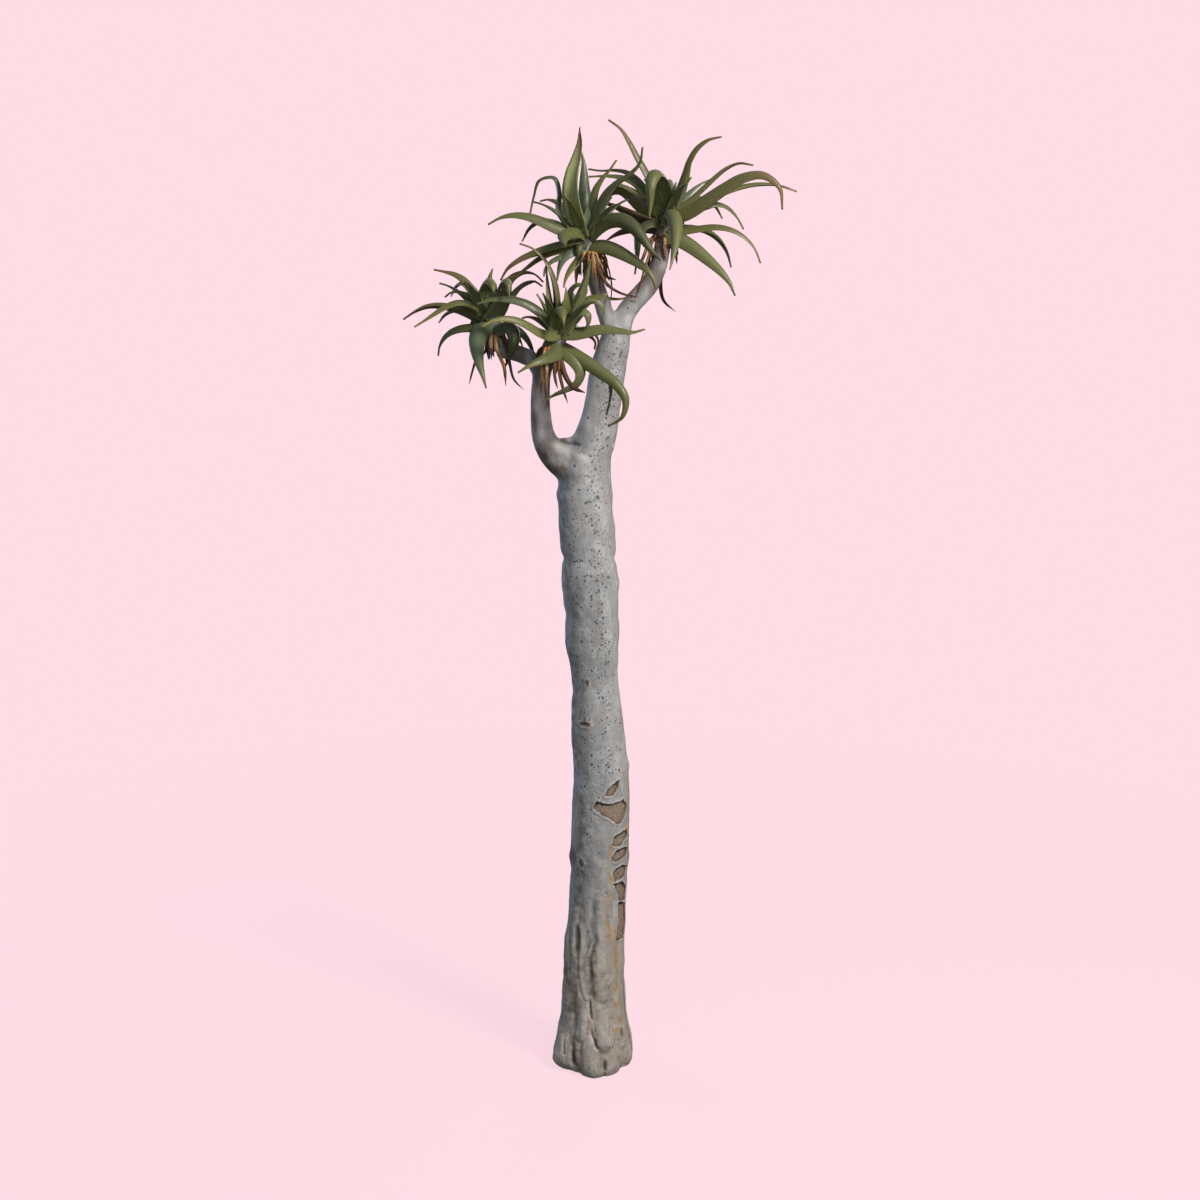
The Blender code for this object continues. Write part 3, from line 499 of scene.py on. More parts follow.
LEFT_LEAVES = (
    (0.045, (177, 173), (89, 56, 54, 9, 10), 0.194, 0.048, (-20, -10), "bronze"),
    (0.045, (159, 164), (82, 47, 24, 5, -51), 0.145, 0.040, (25, 0), "yellow"),
    (0.026, (170, 176), (33, 26, 13, 3, -32, -35), 0.242, 0.048, (25, 10), "bronze"),
    (0.035, (202, 188), (56, 32, -25, -36, -30), 0.221, 0.048, (15, -15), "yellow"),
    (0.021, (196, 182), (-10, 1, -17, -58, -91), 0.174, 0.048, (-10, 0), "deep"),
    (0.016, (238, 314), (18, -28, -48, -53, -73), 0.246, 0.056, (-20, 0), "bloom"),
    (0.014, (230, 231), (-64, -38, -32, -39, -45), 0.063, 0.040, (0, 0), "olive"),
    (0.010, (303, 305), (10, 21, -70, -140, -132), 0.212, 0.054, (20, 0), "deep"),
    (0.008, (1, 5), (33, -15, -55, -72, -94), 0.159, 0.046, (20, 0), "deep"),
    (0.045, (266, 296), (93, 73, 42, -19, -102), 0.180, 0.064, (0, 0), "fresh"),
    (0.045, (296, 277), (31, 27, 43, 14, -110), 0.258, 0.060, (0, 0), "fresh"),
    (0.045, (89, 59), (79, 95, 93, 68, 44), 0.127, 0.038, (0, 0), "green"),
    (0.045, (13, 8), (52, 42, 51, 24, -55), 0.171, 0.044, (-30, 0), "deep"),
    (0.045, (44, 19), (71, 62, 44, -4, -55), 0.221, 0.044, (10, 0), "bronze"),
)

# Leaves that only show from behind fill the far half of each crown by rule.
BACK_ROOT = (0.005, 0.035)
BACK_RISE = (10, 68)
BACK_DROOP = (35, 75)
BACK_BEND = (0.45, 1.6)
BACK_SWING = 12
BACK_SPREAD = 0.382
BACK_JITTER = 0.6
BACK_LENGTH = (0.20, 0.29)
BACK_WIDTH = 0.042
BACK_TINTS = ("green", "olive", "bloom", "yellow", "bronze")
# For each crown, the fan of headings that its back leaves fill, and a seed.
FRONT_BACK = (50, 95), 3
MIDDLE_BACK = (95, 150), 5
LEFT_BACK = (80, 165), 7
RIGHT_BACK = (40, 120), 11

GOLDEN_TURN = 137.5      # degrees from each leaf or strip to the next, where they go all round

# Young leaves stand close round the growing point of each crown, the older of them opening out.
YOUNG_LEAVES = 11
YOUNG_ROOT = 0.046
YOUNG_LENGTH = (0.055, 0.170)
YOUNG_WIDTH = 0.032
YOUNG_STRAY = 10         # degrees off its heading
YOUNG_RISE = 86          # of the first
YOUNG_OPENING = 4.5      # degrees that each leans further out than the one before
YOUNG_BEND = (0, 1, 4)   # degrees more from root to tip
YOUNG_TINTS = ("fresh", "green", "bloom")

# Dead leaves: heading at root and tip, rise from root to tip, length, width, tint. They hang from
# the foot of the crown.
DEAD_HEIGHT = -0.012
DEAD_CURL = 0.26
DEAD_SAG = 0.13
RIGHT_DEAD = (
    ((237, 195), (51, -59, -71, -65, -80, -59), 0.204, 0.018, "orange"),
    ((73, 34), (54, -121, -130, -65, -22), 0.255, 0.014, "dark"),
    ((263, 247), (32, -32, -43), 0.074, 0.022, "orange"),
)
MIDDLE_DEAD = (
    ((275, 243), (60, -16, -65, -60), 0.118, 0.030, "orange"),
    ((281, 278), (60, -49, -74, -51), 0.163, 0.028, "orange"),
    ((330, 329), (60, -5, -85, -95), 0.076, 0.020, "tan"),
    ((337, 335), (60, -85, -68, -92, -95), 0.151, 0.016, "brown"),
    ((276, 351), (60, -65, -58, -17, -9), 0.232, 0.014, "dark"),
    ((300, 359), (56, -77, -62, 0), 0.109, 0.010, "tan"),
)
FRONT_DEAD = (
    ((261, 258), (45, -35, -61, -81, -95), 0.194, 0.020, "orange"),
    ((279, 320), (60, -63, -95, -57, -75), 0.184, 0.020, "brown"),
    ((288, 340), (51, -67, -73, -44, -9), 0.180, 0.014, "dark"),
    ((223, 225), (53, -95, -85), 0.073, 0.024, "brown"),
)
LEFT_DEAD = (
    ((260, 309), (44, -26, -52, -9, -72, -95), 0.217, 0.020, "orange"),
    ((240, 234), (50, -74, -95, -95), 0.083, 0.014, "dark"),
    ((217, 205), (14, -56, -68, -68, -79), 0.154, 0.018, "brown"),
    ((289, 349), (29, -50, -85, -77, -27), 0.187, 0.012, "dark"),
    ((255, 286), (45, -27, -53, -39), 0.094, 0.026, "orange"),
)
# Each crown: its name, the limbs that it stands on, its leaves, dead leaves and back leaves.
CROWNS = (
    ("front", LEFT_LINE, FRONT_LEAVES, FRONT_DEAD, FRONT_BACK),
    ("middle", MIDDLE_LINE, MIDDLE_LEAVES, MIDDLE_DEAD, MIDDLE_BACK),
    ("left", SIDE_LINE, LEFT_LEAVES, LEFT_DEAD, LEFT_BACK),
    ("right", MAIN_LINE, RIGHT_LEAVES, RIGHT_DEAD, RIGHT_BACK),
)

# Short dead strips between the long ones.
LITTER = 10
LITTER_LENGTH = (0.040, 0.095)
LITTER_WIDTH = (0.009, 0.019)
LITTER_RISE = ((10, 50), (-95, -70), (-100, -75), (-95, -60))
LITTER_STRAY = 15        # degrees off its heading
LITTER_SWING = 50        # degrees that its end may swing round
LITTER_ROOT = (-0.008, 0.010)    # over and under the roots of the dead leaves
LITTER_TINTS = ("orange", "tan", "orange", "brown")
DEAD_COLOURS = ("#b5733a", "#b39463", "#885829", "#573a22", "#35261b")
DEAD_TINTS = ("orange", "tan", "brown", "dark")    # each starts at the colour in its place
DEAD_FADE = 1.6          # over 1, it keeps its first colour for longer
DEAD_MOTTLE = 0.5        # steps of colour that its faces stray

# A tint is the colour of the body of the leaf, of its outer part and of its tip, and the share of
# the length at which the outer part begins.
TINTS = {
    "green": ("#63693c", "#6b6c3a", "#7a6038", 0.66),
    "fresh": ("#6d7146", "#747541", "#877a42", 0.74),
    "bloom": ("#5a6a50", "#65704c", "#807c40", 0.60),
    "yellow": ("#686d3b", "#7d793c", "#9a8c48", 0.52),
    "olive": ("#626335", "#6e6336", "#8c6449", 0.60),
    "bronze": ("#606338", "#74603a", "#8c6048", 0.54),
    # Its body is painted paler, standing in for light on the front-facing leaf that wears it.
    "russet": ("#959963", "#786b44", "#74402f", 0.55),
    "deep": ("#474f30", "#575a32", "#6a5638", 0.62),
    "brown": ("#524426", "#60462a", "#7e5842", 0.36),
}
UNDERSIDE_SHADE = ("#4d4020", 0.18)    # painted shade on the underside: the tone it leans to, and how far
LEAF_STEPS = 9                   # tones from the body of a leaf to its tip
TONE_STRAY = 0.06                # of the length, by which the outer part begins sooner or later
TONE_END = 1.02                  # share of the length at which the last tone would end
TONE_MOTTLE = 0.3                # steps that faces stray
BODY_STEPS = (0, 0, 0, 1)        # the body is mottled a little too
MARGIN_LEAD = 1.6                # steps that the margins run ahead of the middle
MARGIN_AT = 0.42                 # of the width out from the middle


# ================================================================ shapes


def between(t, first, last, lead, trail):
    """A row on the smooth curve from one knot to the next, whose slopes are lead and trail."""
    return (
        (2 * t**3 - 3 * t**2 + 1) * first
        + (t**3 - 2 * t**2 + t) * lead
        + (3 * t**2 - 2 * t**3) * last
        + (t**3 - t**2) * trail
    )


def placed(centre, side, face, along):
    """The matrix that sets an outline at a point, across its run."""
    return Matrix.Translation(centre) @ Matrix((side, face, along)).transposed().to_4x4()


def smooth_line(stations, step):
    """Rows x, y, z, radius of a smooth curve through the stations, about one step apart."""
    knots = np.array(stations)
    slopes = np.gradient(knots, axis=0)
    rows = []
    for first, last, lead, trail in zip(knots, knots[1:], slopes, slopes[1:]):
        count = max(1, round(np.linalg.norm((last - first)[:3]) / step))
        rows += [between(t, first, last, lead, trail) for t in np.arange(count) / count]
    rows.append(knots[-1])
    return np.array(rows)


def ring_places(rows):
    """One matrix for each row, which sets a unit ring square to the curve, at its radius."""
    centres = [Vector(row[:3]) for row in rows]
    places = []
    side = Vector((1.0, 0.0, 0.0))
    for index, (centre, row) in enumerate(zip(centres, rows)):
        before = centres[max(index - 1, 0)]
        after = centres[min(index + 1, len(centres) - 1)]
        along = (after - before).normalized()
        side = (side - along * side.dot(along)).normalized()
        places.append(placed(centre, side * row[3], along.cross(side) * row[3], along))
    return places


def moved_along(place, distance):
    """The same placing, further along its own axis."""
    return Matrix.Translation(place.col[2].to_3d().normalized() * distance) @ place


def round_outline(sides):
    """Corners of a unit ring."""
    return [(cos(2 * pi * k / sides), sin(2 * pi * k / sides)) for k in range(sides)]


def sweep(outline, places):
    """A closed shell: the outline carried through each placing, its faces numbered by station."""
    bm = bmesh.new()
    number = bm.faces.layers.int.new("station")
    cap = bm.faces.new([bm.verts.new(places[0] @ Vector((u, v, 0.0))) for u, v in outline])
    for index, (here, there) in enumerate(zip(places, places[1:])):
        grown = bmesh.ops.extrude_face_region(bm, geom=[cap])["geom"]
        if index:
            bmesh.ops.delete(bm, geom=[cap], context="FACES_ONLY")
        cap = next(item for item in grown if isinstance(item, bmesh.types.BMFace))
        bmesh.ops.transform(bm, matrix=there @ here.inverted(), verts=cap.verts)
        for edge in cap.edges:
            for side in edge.link_faces:
                side[number] = index
    bmesh.ops.recalc_face_normals(bm, faces=bm.faces)
    return bm


def solid(name, bm, materials=()):
    """An object at the origin from a finished bmesh."""
    mesh = bpy.data.meshes.new(name)
    bm.to_mesh(mesh)
    bm.free()
    for material in materials:
        mesh.materials.append(material)
    thing = bpy.data.objects.new(name, mesh)
    bpy.context.scene.collection.objects.link(thing)
    return thing


def settle(thing):
    """Give the object the mesh that its modifiers make, and drop the modifiers."""
    graph = bpy.context.evaluated_depsgraph_get()
    finished = bpy.data.meshes.new_from_object(thing.evaluated_get(graph))
    thing.modifiers.clear()
    thing.data = finished


def tree_of_object(thing):
    """A search tree of an object's faces."""
    return BVHTree.FromPolygons([vert.co for vert in thing.data.vertices],
                                [face.vertices for face in thing.data.polygons])


# ================================================================ materials


def linear(code):
    """A hex sRGB colour as linear light."""
    parts = [int(code[index:index + 2], 16) / 255 for index in (1, 3, 5)]
    return [part / 12.92 if part <= 0.04045 else ((part + 0.055) / 1.055) ** 2.4 for part in parts]


def blended(first, second, share):
    """A colour between two, both linear."""
    return [a + (b - a) * share for a, b in zip(first, second)]


def add(tree, kind, inputs=None, output=0, **settings):
    """Add a node with its settings and links, and return one of its outputs.

    Each input takes a value, a hex colour or the output that feeds it.
    """
    made = tree.nodes.new("ShaderNode" + kind)
    for key, value in settings.items():
        setattr(made, key, value)
    for key, value in (inputs or {}).items():
        if isinstance(value, bpy.types.NodeSocket):
            tree.links.new(value, made.inputs[key])
        elif isinstance(value, str):
            made.inputs[key].default_value = (*linear(value), 1.0)
        else:
            made.inputs[key].default_value = value
    return made.outputs[output]


def new_material(name):
    """A material with only its Principled shader, and the tree and shader to work on."""
    material = bpy.data.materials.new(name)
    material.use_nodes = True
    tree = material.node_tree
    return material, tree, tree.nodes["Principled BSDF"]


# Marks: painted highlights on crests and bulges, painted shade with dirt in hollows, painted shade
# with weathering.
BARK_MARKS = ("scar", "rim", "stain", "speck", "dirt_and_shade", "painted_highlight", "warm", "weathering_and_shade")

# Patterns in the bark: size of a lump in metres, detail, how far it is drawn out up the tree, and
# the part of its range that shows.
BARK_PATTERNS = {
    "patch": (0.110, 3.0, 0.25, 0.38, 0.62),
    "cloud": (0.050, 3.0, 0.50, 0.46, 0.62),
    "blotch": (0.024, 4.0, 0.80, 0.47, 0.62),
    "smear": (0.013, 4.0, 0.45, 0.50, 0.66),
    "seep": (0.014, 4.0, 0.70, 0.40, 0.60),
    "fleck": (0.0055, 4.0, 0.80, 0.40, 0.62),
    "grain": (0.0050, 4.0, 0.50, 0.35, 0.65),
}
# Lichen specks: size of the cell that each lies in, and its widest radius as a share of that.
LICHEN = ((0.0150, 0.34), (0.0095, 0.40), (0.0062, 0.42))
SPECK_EDGE = (-0.02, 0.06)
# Each layer over the skin: where it shows, what breaks it up if anything, its strength, its colour.
BARK_SKIN = ("#9c9c9b", "#a6a5a4")
BARK_LAYERS = (
    ("patch", None, 0.80, "#b9b8b7"),
    ("blotch", None, 0.45, "#cccbca"),
    ("cloud", None, 0.42, "#878787"),
    ("smear", "cloud", 0.34, "#b5a196"),
    ("warm", None, 0.75, "#b2a596"),
    ("warm", "blotch", 0.50, "#cdbfae"),
    # weathering and painted shade, grey-brown
    ("weathering_and_shade", None, 0.85, "#695e59"),
    ("fleck", None, 0.20, "#7b7670"),
    # painted highlight, near white
    ("painted_highlight", None, 0.85, "#e2ded8"),
    ("stain", "seep", 0.85, "#b58a42"),
    ("lichen", None, 0.85, "#4b5256"),
    ("scar", None, 1.00, "#7f6c5c"),
    ("scar", "grain", 0.75, "#a89380"),
    ("rim", None, 0.95, "#5f452c"),
    # dirt and painted shade, dark brown
    ("dirt_and_shade", None, 1.00, "#3a3028"),
)
BARK_GLOSS = (0.82, 0.64)    # roughness, over the blotches
# Pores and hair cracks of 2 to 6 mm in the skin: how far they are drawn out sideways, their size,
# strength and depth.
PORES = (2.2, 0.0045, 0.32, 0.0008)
LEAF_BLOOM = 0.012           # size of a patch of bloom, and the roughness from one to the next
LEAF_GLOSS = (0.34, 0.52)
LEAF_PITS = (0.003, 0.12, 0.0005)     # size, strength and depth
DEAD_VEINS = (0.15, 0.003, 0.6, 0.001)    # how far drawn out, size, strength and depth
DEAD_GLOSS = (0.6, 0.9)


def bark_material():
    """Kokerboom bark: a thin smooth skin, powdery pale grey over tan cork.

    It gives the eye soft pale mottling, crowds of grey lichen specks, tan wood with golden rims
    where the skin has peeled, dark dirt and painted shade in every furrow, and painted highlights
    on the crests.
    """
    material, tree, shader = new_material("kokerboom_bark_skin")
    place = add(tree, "TexCoord", output="Object")
    marks = {name: add(tree, "Attribute", output="Fac", attribute_name=name) for name in BARK_MARKS}
    soft = {"interpolation_type": "SMOOTHSTEP"}
    shown = {}
    for name, (size, detail, drawn, low, high) in BARK_PATTERNS.items():
        where = add(tree, "Mapping", {0: place, "Scale": (1.0, 1.0, drawn)})
        value = add(tree, "TexNoise", {0: where, "Scale": 1.0 / size, "Detail": detail}, "Fac")
        shown[name] = add(tree, "MapRange", {0: value, 1: low, 2: high}, **soft)

    specks = None
    for cell, widest in LICHEN:
        lot = add(tree, "TexVoronoi", {0: place, "Scale": 1.0 / cell}, "Color")
        away = lot.node.outputs["Distance"]
        lots = add(tree, "SeparateColor", {0: lot}, "Red").node.outputs
        radius = add(tree, "Math", {0: lots["Red"], 1: widest}, operation="MULTIPLY")
        inside = add(tree, "Math", {0: radius, 1: away}, operation="SUBTRACT")
        outer, inner = SPECK_EDGE
        dot = add(tree, "MapRange", {0: inside, 1: outer, 2: inner}, **soft)
        chosen = add(tree, "Math", {0: marks["speck"], 1: lots["Green"]}, operation="GREATER_THAN")
        dot = add(tree, "Math", {0: dot, 1: chosen}, operation="MULTIPLY")
        if specks:
            dot = add(tree, "Math", {0: specks, 1: dot}, operation="MAXIMUM")
        specks = dot

    fields = {**marks, **shown, "lichen": specks}
    below, above = BARK_SKIN
    skin = add(tree, "Mix", {0: shown["smear"], 6: below, 7: above}, 2, data_type="RGBA")
    for where, broken, strength, colour in BARK_LAYERS:
        share = add(tree, "Math", {0: fields[where], 1: strength}, operation="MULTIPLY")
        if broken:
            share = add(tree, "Math", {0: share, 1: fields[broken]}, operation="MULTIPLY")
        skin = add(tree, "Mix", {0: share, 6: skin, 7: colour}, 2, data_type="RGBA")

    shader.inputs["IOR"].default_value = 1.45
    tree.links.new(skin, shader.inputs["Base Color"])
    rough, worn = BARK_GLOSS
    dull = add(tree, "MapRange", {0: shown["blotch"], 3: rough, 4: worn})
    tree.links.new(dull, shader.inputs["Roughness"])
    drawn, size, strength, depth = PORES
    creased = add(tree, "Mapping", {0: place, "Scale": (1.0, 1.0, drawn)})
    pores = add(tree, "TexNoise", {0: creased, "Scale": 1.0 / size, "Detail": 5.0}, "Fac")
    lumps = add(tree, "Math", {0: pores, 1: shown["grain"]}, operation="ADD")
    relief = add(tree, "Bump", {"Height": lumps, "Strength": strength, "Distance": depth})
    tree.links.new(relief, shader.inputs["Normal"])
    return material


def leaf_material(name, colour):
    """Kokerboom leaf: thick, fleshy, with a waxy bloom.

    It gives the eye a plain tone with a soft broken gloss.
    """
    material, tree, shader = new_material(name)
    place = add(tree, "TexCoord", output="Object")
    shader.inputs["Base Color"].default_value = (*colour, 1.0)
    shader.inputs["IOR"].default_value = 1.46
    shader.inputs["Sheen Weight"].default_value = 0.08
    shader.inputs["Sheen Roughness"].default_value = 0.5
    bloom = add(tree, "TexNoise", {0: place, "Scale": 1.0 / LEAF_BLOOM, "Detail": 4.0}, "Fac")
    waxy, worn = LEAF_GLOSS
    gloss = add(tree, "MapRange", {0: bloom, 1: 0.3, 2: 0.7, 3: waxy, 4: worn})
    tree.links.new(gloss, shader.inputs["Roughness"])
    size, strength, depth = LEAF_PITS
    pits = add(tree, "TexNoise", {0: place, "Scale": 1.0 / size, "Detail": 3.0}, "Fac")
    relief = add(tree, "Bump", {"Height": pits, "Strength": strength, "Distance": depth})
    tree.links.new(relief, shader.inputs["Normal"])
    return material


def dead_material(name, colour):
    """Dead leaf: papery and curled, with raised veins along it.

    It gives the eye a dry orange to brown ribbon with no gloss.
    """
    material, tree, shader = new_material(name)
    place = add(tree, "TexCoord", output="Object")
    shader.inputs["Base Color"].default_value = (*colour, 1.0)
    (stretch, size, strength, depth), (smooth, rough) = DEAD_VEINS, DEAD_GLOSS
    drawn = add(tree, "Mapping", {0: place, "Scale": (1.0, 1.0, stretch)})
    veins = add(tree, "TexNoise", {0: drawn, "Scale": 1.0 / size, "Detail": 3.0}, "Fac")
    dull = add(tree, "MapRange", {0: veins, 3: smooth, 4: rough})
    tree.links.new(dull, shader.inputs["Roughness"])
    relief = add(tree, "Bump", {"Height": veins, "Strength": strength, "Distance": depth})
    tree.links.new(relief, shader.inputs["Normal"])
    return material


# ================================================================ bark


def eased(value):
    """0 to 1 with soft ends."""
    value = np.clip(value, 0.0, 1.0)
    return value * value * (3.0 - 2.0 * value)


def bell(value):
    """1 at nought, falling away softly on both sides."""
    return np.exp(-(value**2))


def turned_from(turn, at):
    """Degrees from a heading, -180 to 180."""
    return np.remainder(turn - at + 180.0, 360.0) - 180.0


def run_distance(turn, height, radius, run):
    """Distance over the bark from a run of points given as degrees round and height."""
    nearest = np.full(len(turn), FAR_OFF)
    for (turn_a, height_a), (turn_b, height_b) in zip(run, run[1:]):
        across = turned_from(turn, turn_a) * pi / 180.0 * radius
        up = height - height_a
        run_across = radians(turn_b - turn_a) * radius
        run_up = height_b - height_a
        share = (across * run_across + up * run_up) / (run_across**2 + run_up**2)
        share = np.clip(share, 0.0, 1.0)
        away = np.hypot(across - share * run_across, up - share * run_up)
        nearest = np.minimum(nearest, away)
    return nearest


def inside_corners(turn, height, corners):
    """Whether each point of the bark lies within corners given as degrees round and height."""
    within = np.zeros(len(turn), bool)
    flat_turn = np.remainder(turn - corners[0][0] + 180.0, 360.0) + corners[0][0] - 180.0
    for (turn_a, height_a), (turn_b, height_b) in zip(corners, corners[1:] + corners[:1]):
        crosses = (height_a > height) != (height_b > height)
        climb = (height_b - height_a) or FLAT
        edge = turn_a + (height - height_a) / climb * (turn_b - turn_a)
        within ^= crosses & (flat_turn < edge)
    return within


def noise_at(points, size, seed, drawn):
    """Smooth noise from -1 to 1 at each point, in lumps of this size, drawn out up the tree."""
    spread = points * np.array((1.0, 1.0, 1.0 / drawn)) / size + seed
    return np.array([noise.noise(Vector(row)) for row in spread])


def patchy(points, kind):
    """0 to 1 in patches, by a row of PATCHES."""
    *grain, base, gain = PATCHES[kind]
    return eased(base + gain * noise_at(points, *grain))


def evened(values, edges, rounds):
    """Each point's value evened out with its neighbours', over and over."""
    count = np.bincount(edges.ravel(), minlength=len(values))
    for _ in range(rounds):
        total = np.bincount(edges[:, 0], values[edges[:, 1]], len(values))
        total += np.bincount(edges[:, 1], values[edges[:, 0]], len(values))
        values = 0.5 * values + 0.5 * total / np.maximum(count, 1)
    return values


class Skin:
    """The bark's points: where they lie, how far each moves out, and what marks it."""

    def __init__(self, points):
        rows = smooth_line(MAIN_LINE, BARK_STEP)
        centre_x, centre_y, self.radius = (
            np.interp(points[:, 2], rows[:, 2], rows[:, column]) for column in (0, 1, 3)
        )
        beside, behind = points[:, 0] - centre_x, points[:, 1] - centre_y
        self.points = points
        self.turn = np.degrees(np.arctan2(behind, beside)) % 360.0
        self.height = points[:, 2]
        near = np.hypot(beside, behind) < self.radius * TRUNK_REACH
        self.on_trunk = near & (self.height < TRUNK_TOP)
        # Ropes and grooves stray a little from their points.
        coarse, fine = (noise_at(points, *NOISES[kind]) for kind in ("stray", "fine_stray"))
        self.strayed = self.turn + WANDER * (coarse + FINE_WANDER * fine)
        self.level = self.height + LEVEL_WANDER * noise_at(points, *NOISES["level"])
        self.out = np.zeros(len(points))
        self.marks = {name: np.zeros(len(points)) for name in BARK_MARKS}

    def mark(self, name, strength):
        """Leave a mark, unless a stronger one is there."""
        self.marks[name] = np.maximum(self.marks[name], strength)


def swell(skin):
    """Swells round the trunk, climbing and falling on the way, and soft lumps everywhere."""
    facing = abs(np.sin(np.radians(skin.turn)))
    share = (1.0 + np.cos(np.radians(skin.turn))) / 2.0
    tilt = SWELL_TILT * facing * noise_at(skin.points, *NOISES["swell"])
    for at, left, right, half in SWELLS:
        level = (skin.height - at + tilt) / (half * (1.0 + SWELL_SPREAD * facing))
        depth = (left + (right - left) * share) * (1.0 - (1.0 - FRONT_SWELL) * facing)
        skin.out += skin.on_trunk * depth * bell(level)
    limb_size = np.where(skin.on_trunk, 1.0, THIN_LIMB_LUMPS)
    for tall, grain, less_on_limbs in LUMPS:
        skin.out += tall * (limb_size if less_on_limbs else 1.0) * noise_at(skin.points, *grain)


def back_ropes():
    """Ropes of wood round the back of the foot, each wandering down from its own height."""
    dice = random.Random(BACK_ROPE_SEED)
    ropes = []
    for turn in np.linspace(*BACK_ROPES, BACK_ROPE_COUNT):
        top = dice.uniform(*BACK_ROPE_TOP)
        run = []
        for height in np.arange(top, -BELOW_GROUND, -BACK_ROPE_STEP):
            run.append((turn, height))
            turn += dice.uniform(-BACK_ROPE_WANDER, BACK_ROPE_WANDER)
        wide = dice.uniform(*BACK_ROPE_WIDTH)
        halves = tuple(share * wide for share in BACK_ROPE_TAPER)
        ropes.append((tuple(run), halves, dice.uniform(*BACK_ROPE_HEIGHT)))
    return ropes


def ridged(skin, kind):
    """Noise with sharp crests, -1 to 1."""
    return 1.0 - 2.0 * abs(noise_at(skin.points, *NOISES[kind]))


def lay_ropes(skin):
    """Ropes of wood, one against the next, so that a crease lies between them."""
    relief = np.zeros(len(skin.points))
    for run, halves, tall in (*ROPES, *back_ropes()):
        half = np.interp(skin.level, (run[-1][1], run[0][1]), halves[::-1])
        near = run_distance(skin.strayed, skin.level, skin.radius, run) / half
        rising = eased((run[0][1] - skin.level) / ROPE_FADE + ROPE_START)
        relief = np.maximum(relief, tall * rising * np.clip(1.0 - near**2, 0.0, 1.0))
    bed = np.interp(skin.height, (0.0, BED_HEIGHT), ROPE_BED[::-1])
    bed = bed * eased((ROPE_TOP - skin.height) / BED_FADE)
    strands = STRAND_DEPTH * ridged(skin, "strand")
    strands += FINE_STRAND_DEPTH * ridged(skin, "fine_strand")
    fade = eased((STRAND_TOP - skin.height) / STRAND_FADE)
    skin.out += skin.on_trunk * (relief - bed + strands * fade)


def cut_grooves(skin):
    """Grooves and slits, dark with dirt and painted shade in their depth, that come and go."""
    for run, half, depth in GROOVES:
        near = run_distance(skin.strayed, skin.level, skin.radius, run)
        fading = eased((run[0][1] - skin.level) / (GROOVE_FADE * half) + GROOVE_START)
        fading = fading * patchy(skin.points, "groove")
        cut = skin.on_trunk * fading * bell(near / half)
        skin.out -= depth * cut
        skin.mark("dirt_and_shade", cut**2 * min(1.0, depth / DARK_DEPTH))


def tuck_foot(skin):
    """Round the lowest edge of the foot in."""
    at, half, more = TUCK_LOBE
    under = bell(turned_from(skin.turn, at) / half)
    low = np.clip(1.0 - skin.height / TUCK_HEIGHT, 0.0, DEEPEST_TUCK)
    skin.out -= TUCK * (1.0 + more * under) * low**2


def peel(skin):
    """Sink the peeled places in the skin, with a lip round each."""
    near_edge, reach, far_edge, drop, drop_edge = OVERHANG
    for corners in SCARS:
        rough = skin.turn + SCAR_ROUGH[0] * noise_at(skin.points, *NOISES["scar_turn"])
        uneven = skin.height + SCAR_ROUGH[1] * noise_at(skin.points, *NOISES["scar_level"])
        near = run_distance(rough, uneven, skin.radius, corners + corners[:1])
        away = np.where(inside_corners(rough, uneven, corners), -near, near)
        lip = bell((away - LIP_AT) / LIP_HALF)
        sunk = eased(-away / SCAR_BANK + 0.5)
        skin.out += skin.on_trunk * (SCAR_LIP * lip - SCAR_DEPTH * sunk)
        skin.mark("scar", skin.on_trunk * eased(-away / SCAR_EDGE + 0.4))
        skin.mark("rim", skin.on_trunk * (bell(away / RIM_HALF) * patchy(skin.points, "rim")))
        # The skin overhangs the top of the scar, and painted shadow lies under it.
        top = max(corner[1] for corner in corners)
        under = eased(-away / near_edge + 0.5) * eased((away + reach) / far_edge)
        under = under * eased((skin.height - top + drop) / drop_edge)
        skin.mark("dirt_and_shade", skin.on_trunk * under)


def raise_knots(skin):
    """Knots: a raised ring round a dark hollow."""
    ring_at, ring_half = KNOT_RING
    brown_at, brown_half, brown_share = KNOT_BROWN
    dark_half, dark_share = KNOT_DIRT_AND_SHADE
    for at, level, half_width, half_height, strength in KNOTS:
        across = turned_from(skin.turn, at) * pi / 180.0 * skin.radius
        oval = np.hypot(across / half_width, (skin.height - level) / half_height)
        ring = bell((oval - ring_at) / ring_half) - bell(oval / KNOT_HOLLOW)
        skin.out += skin.on_trunk * KNOT_HEIGHT * strength * ring
        brown = brown_share * bell((oval - brown_at) / brown_half)
        skin.mark("rim", skin.on_trunk * strength * brown)
        # The hollow is darkened with dirt and painted shade.
        dirt_and_shade = np.exp(-((oval / dark_half) ** 4))
        skin.mark("dirt_and_shade", skin.on_trunk * strength * dark_share * dirt_and_shade)


def stain_and_speckle(skin):
    """Golden stains that seep down, and lines where lichen specks crowd."""
    for run, half in STAINS:
        near = run_distance(skin.strayed, skin.height, skin.radius, run)
        skin.mark("stain", skin.on_trunk * bell(near / half))
    for run, strength in SPECK_LINES:
        near = run_distance(skin.turn, skin.height, skin.radius, run)
        crowd = sum(share * bell(near / half) for share, half in SPECK_CROWD)
        crowd = crowd * patchy(skin.points, "speck")
        skin.mark("speck", skin.on_trunk * crowd * strength)
    skin.mark("speck", STRAY_SPECKS)


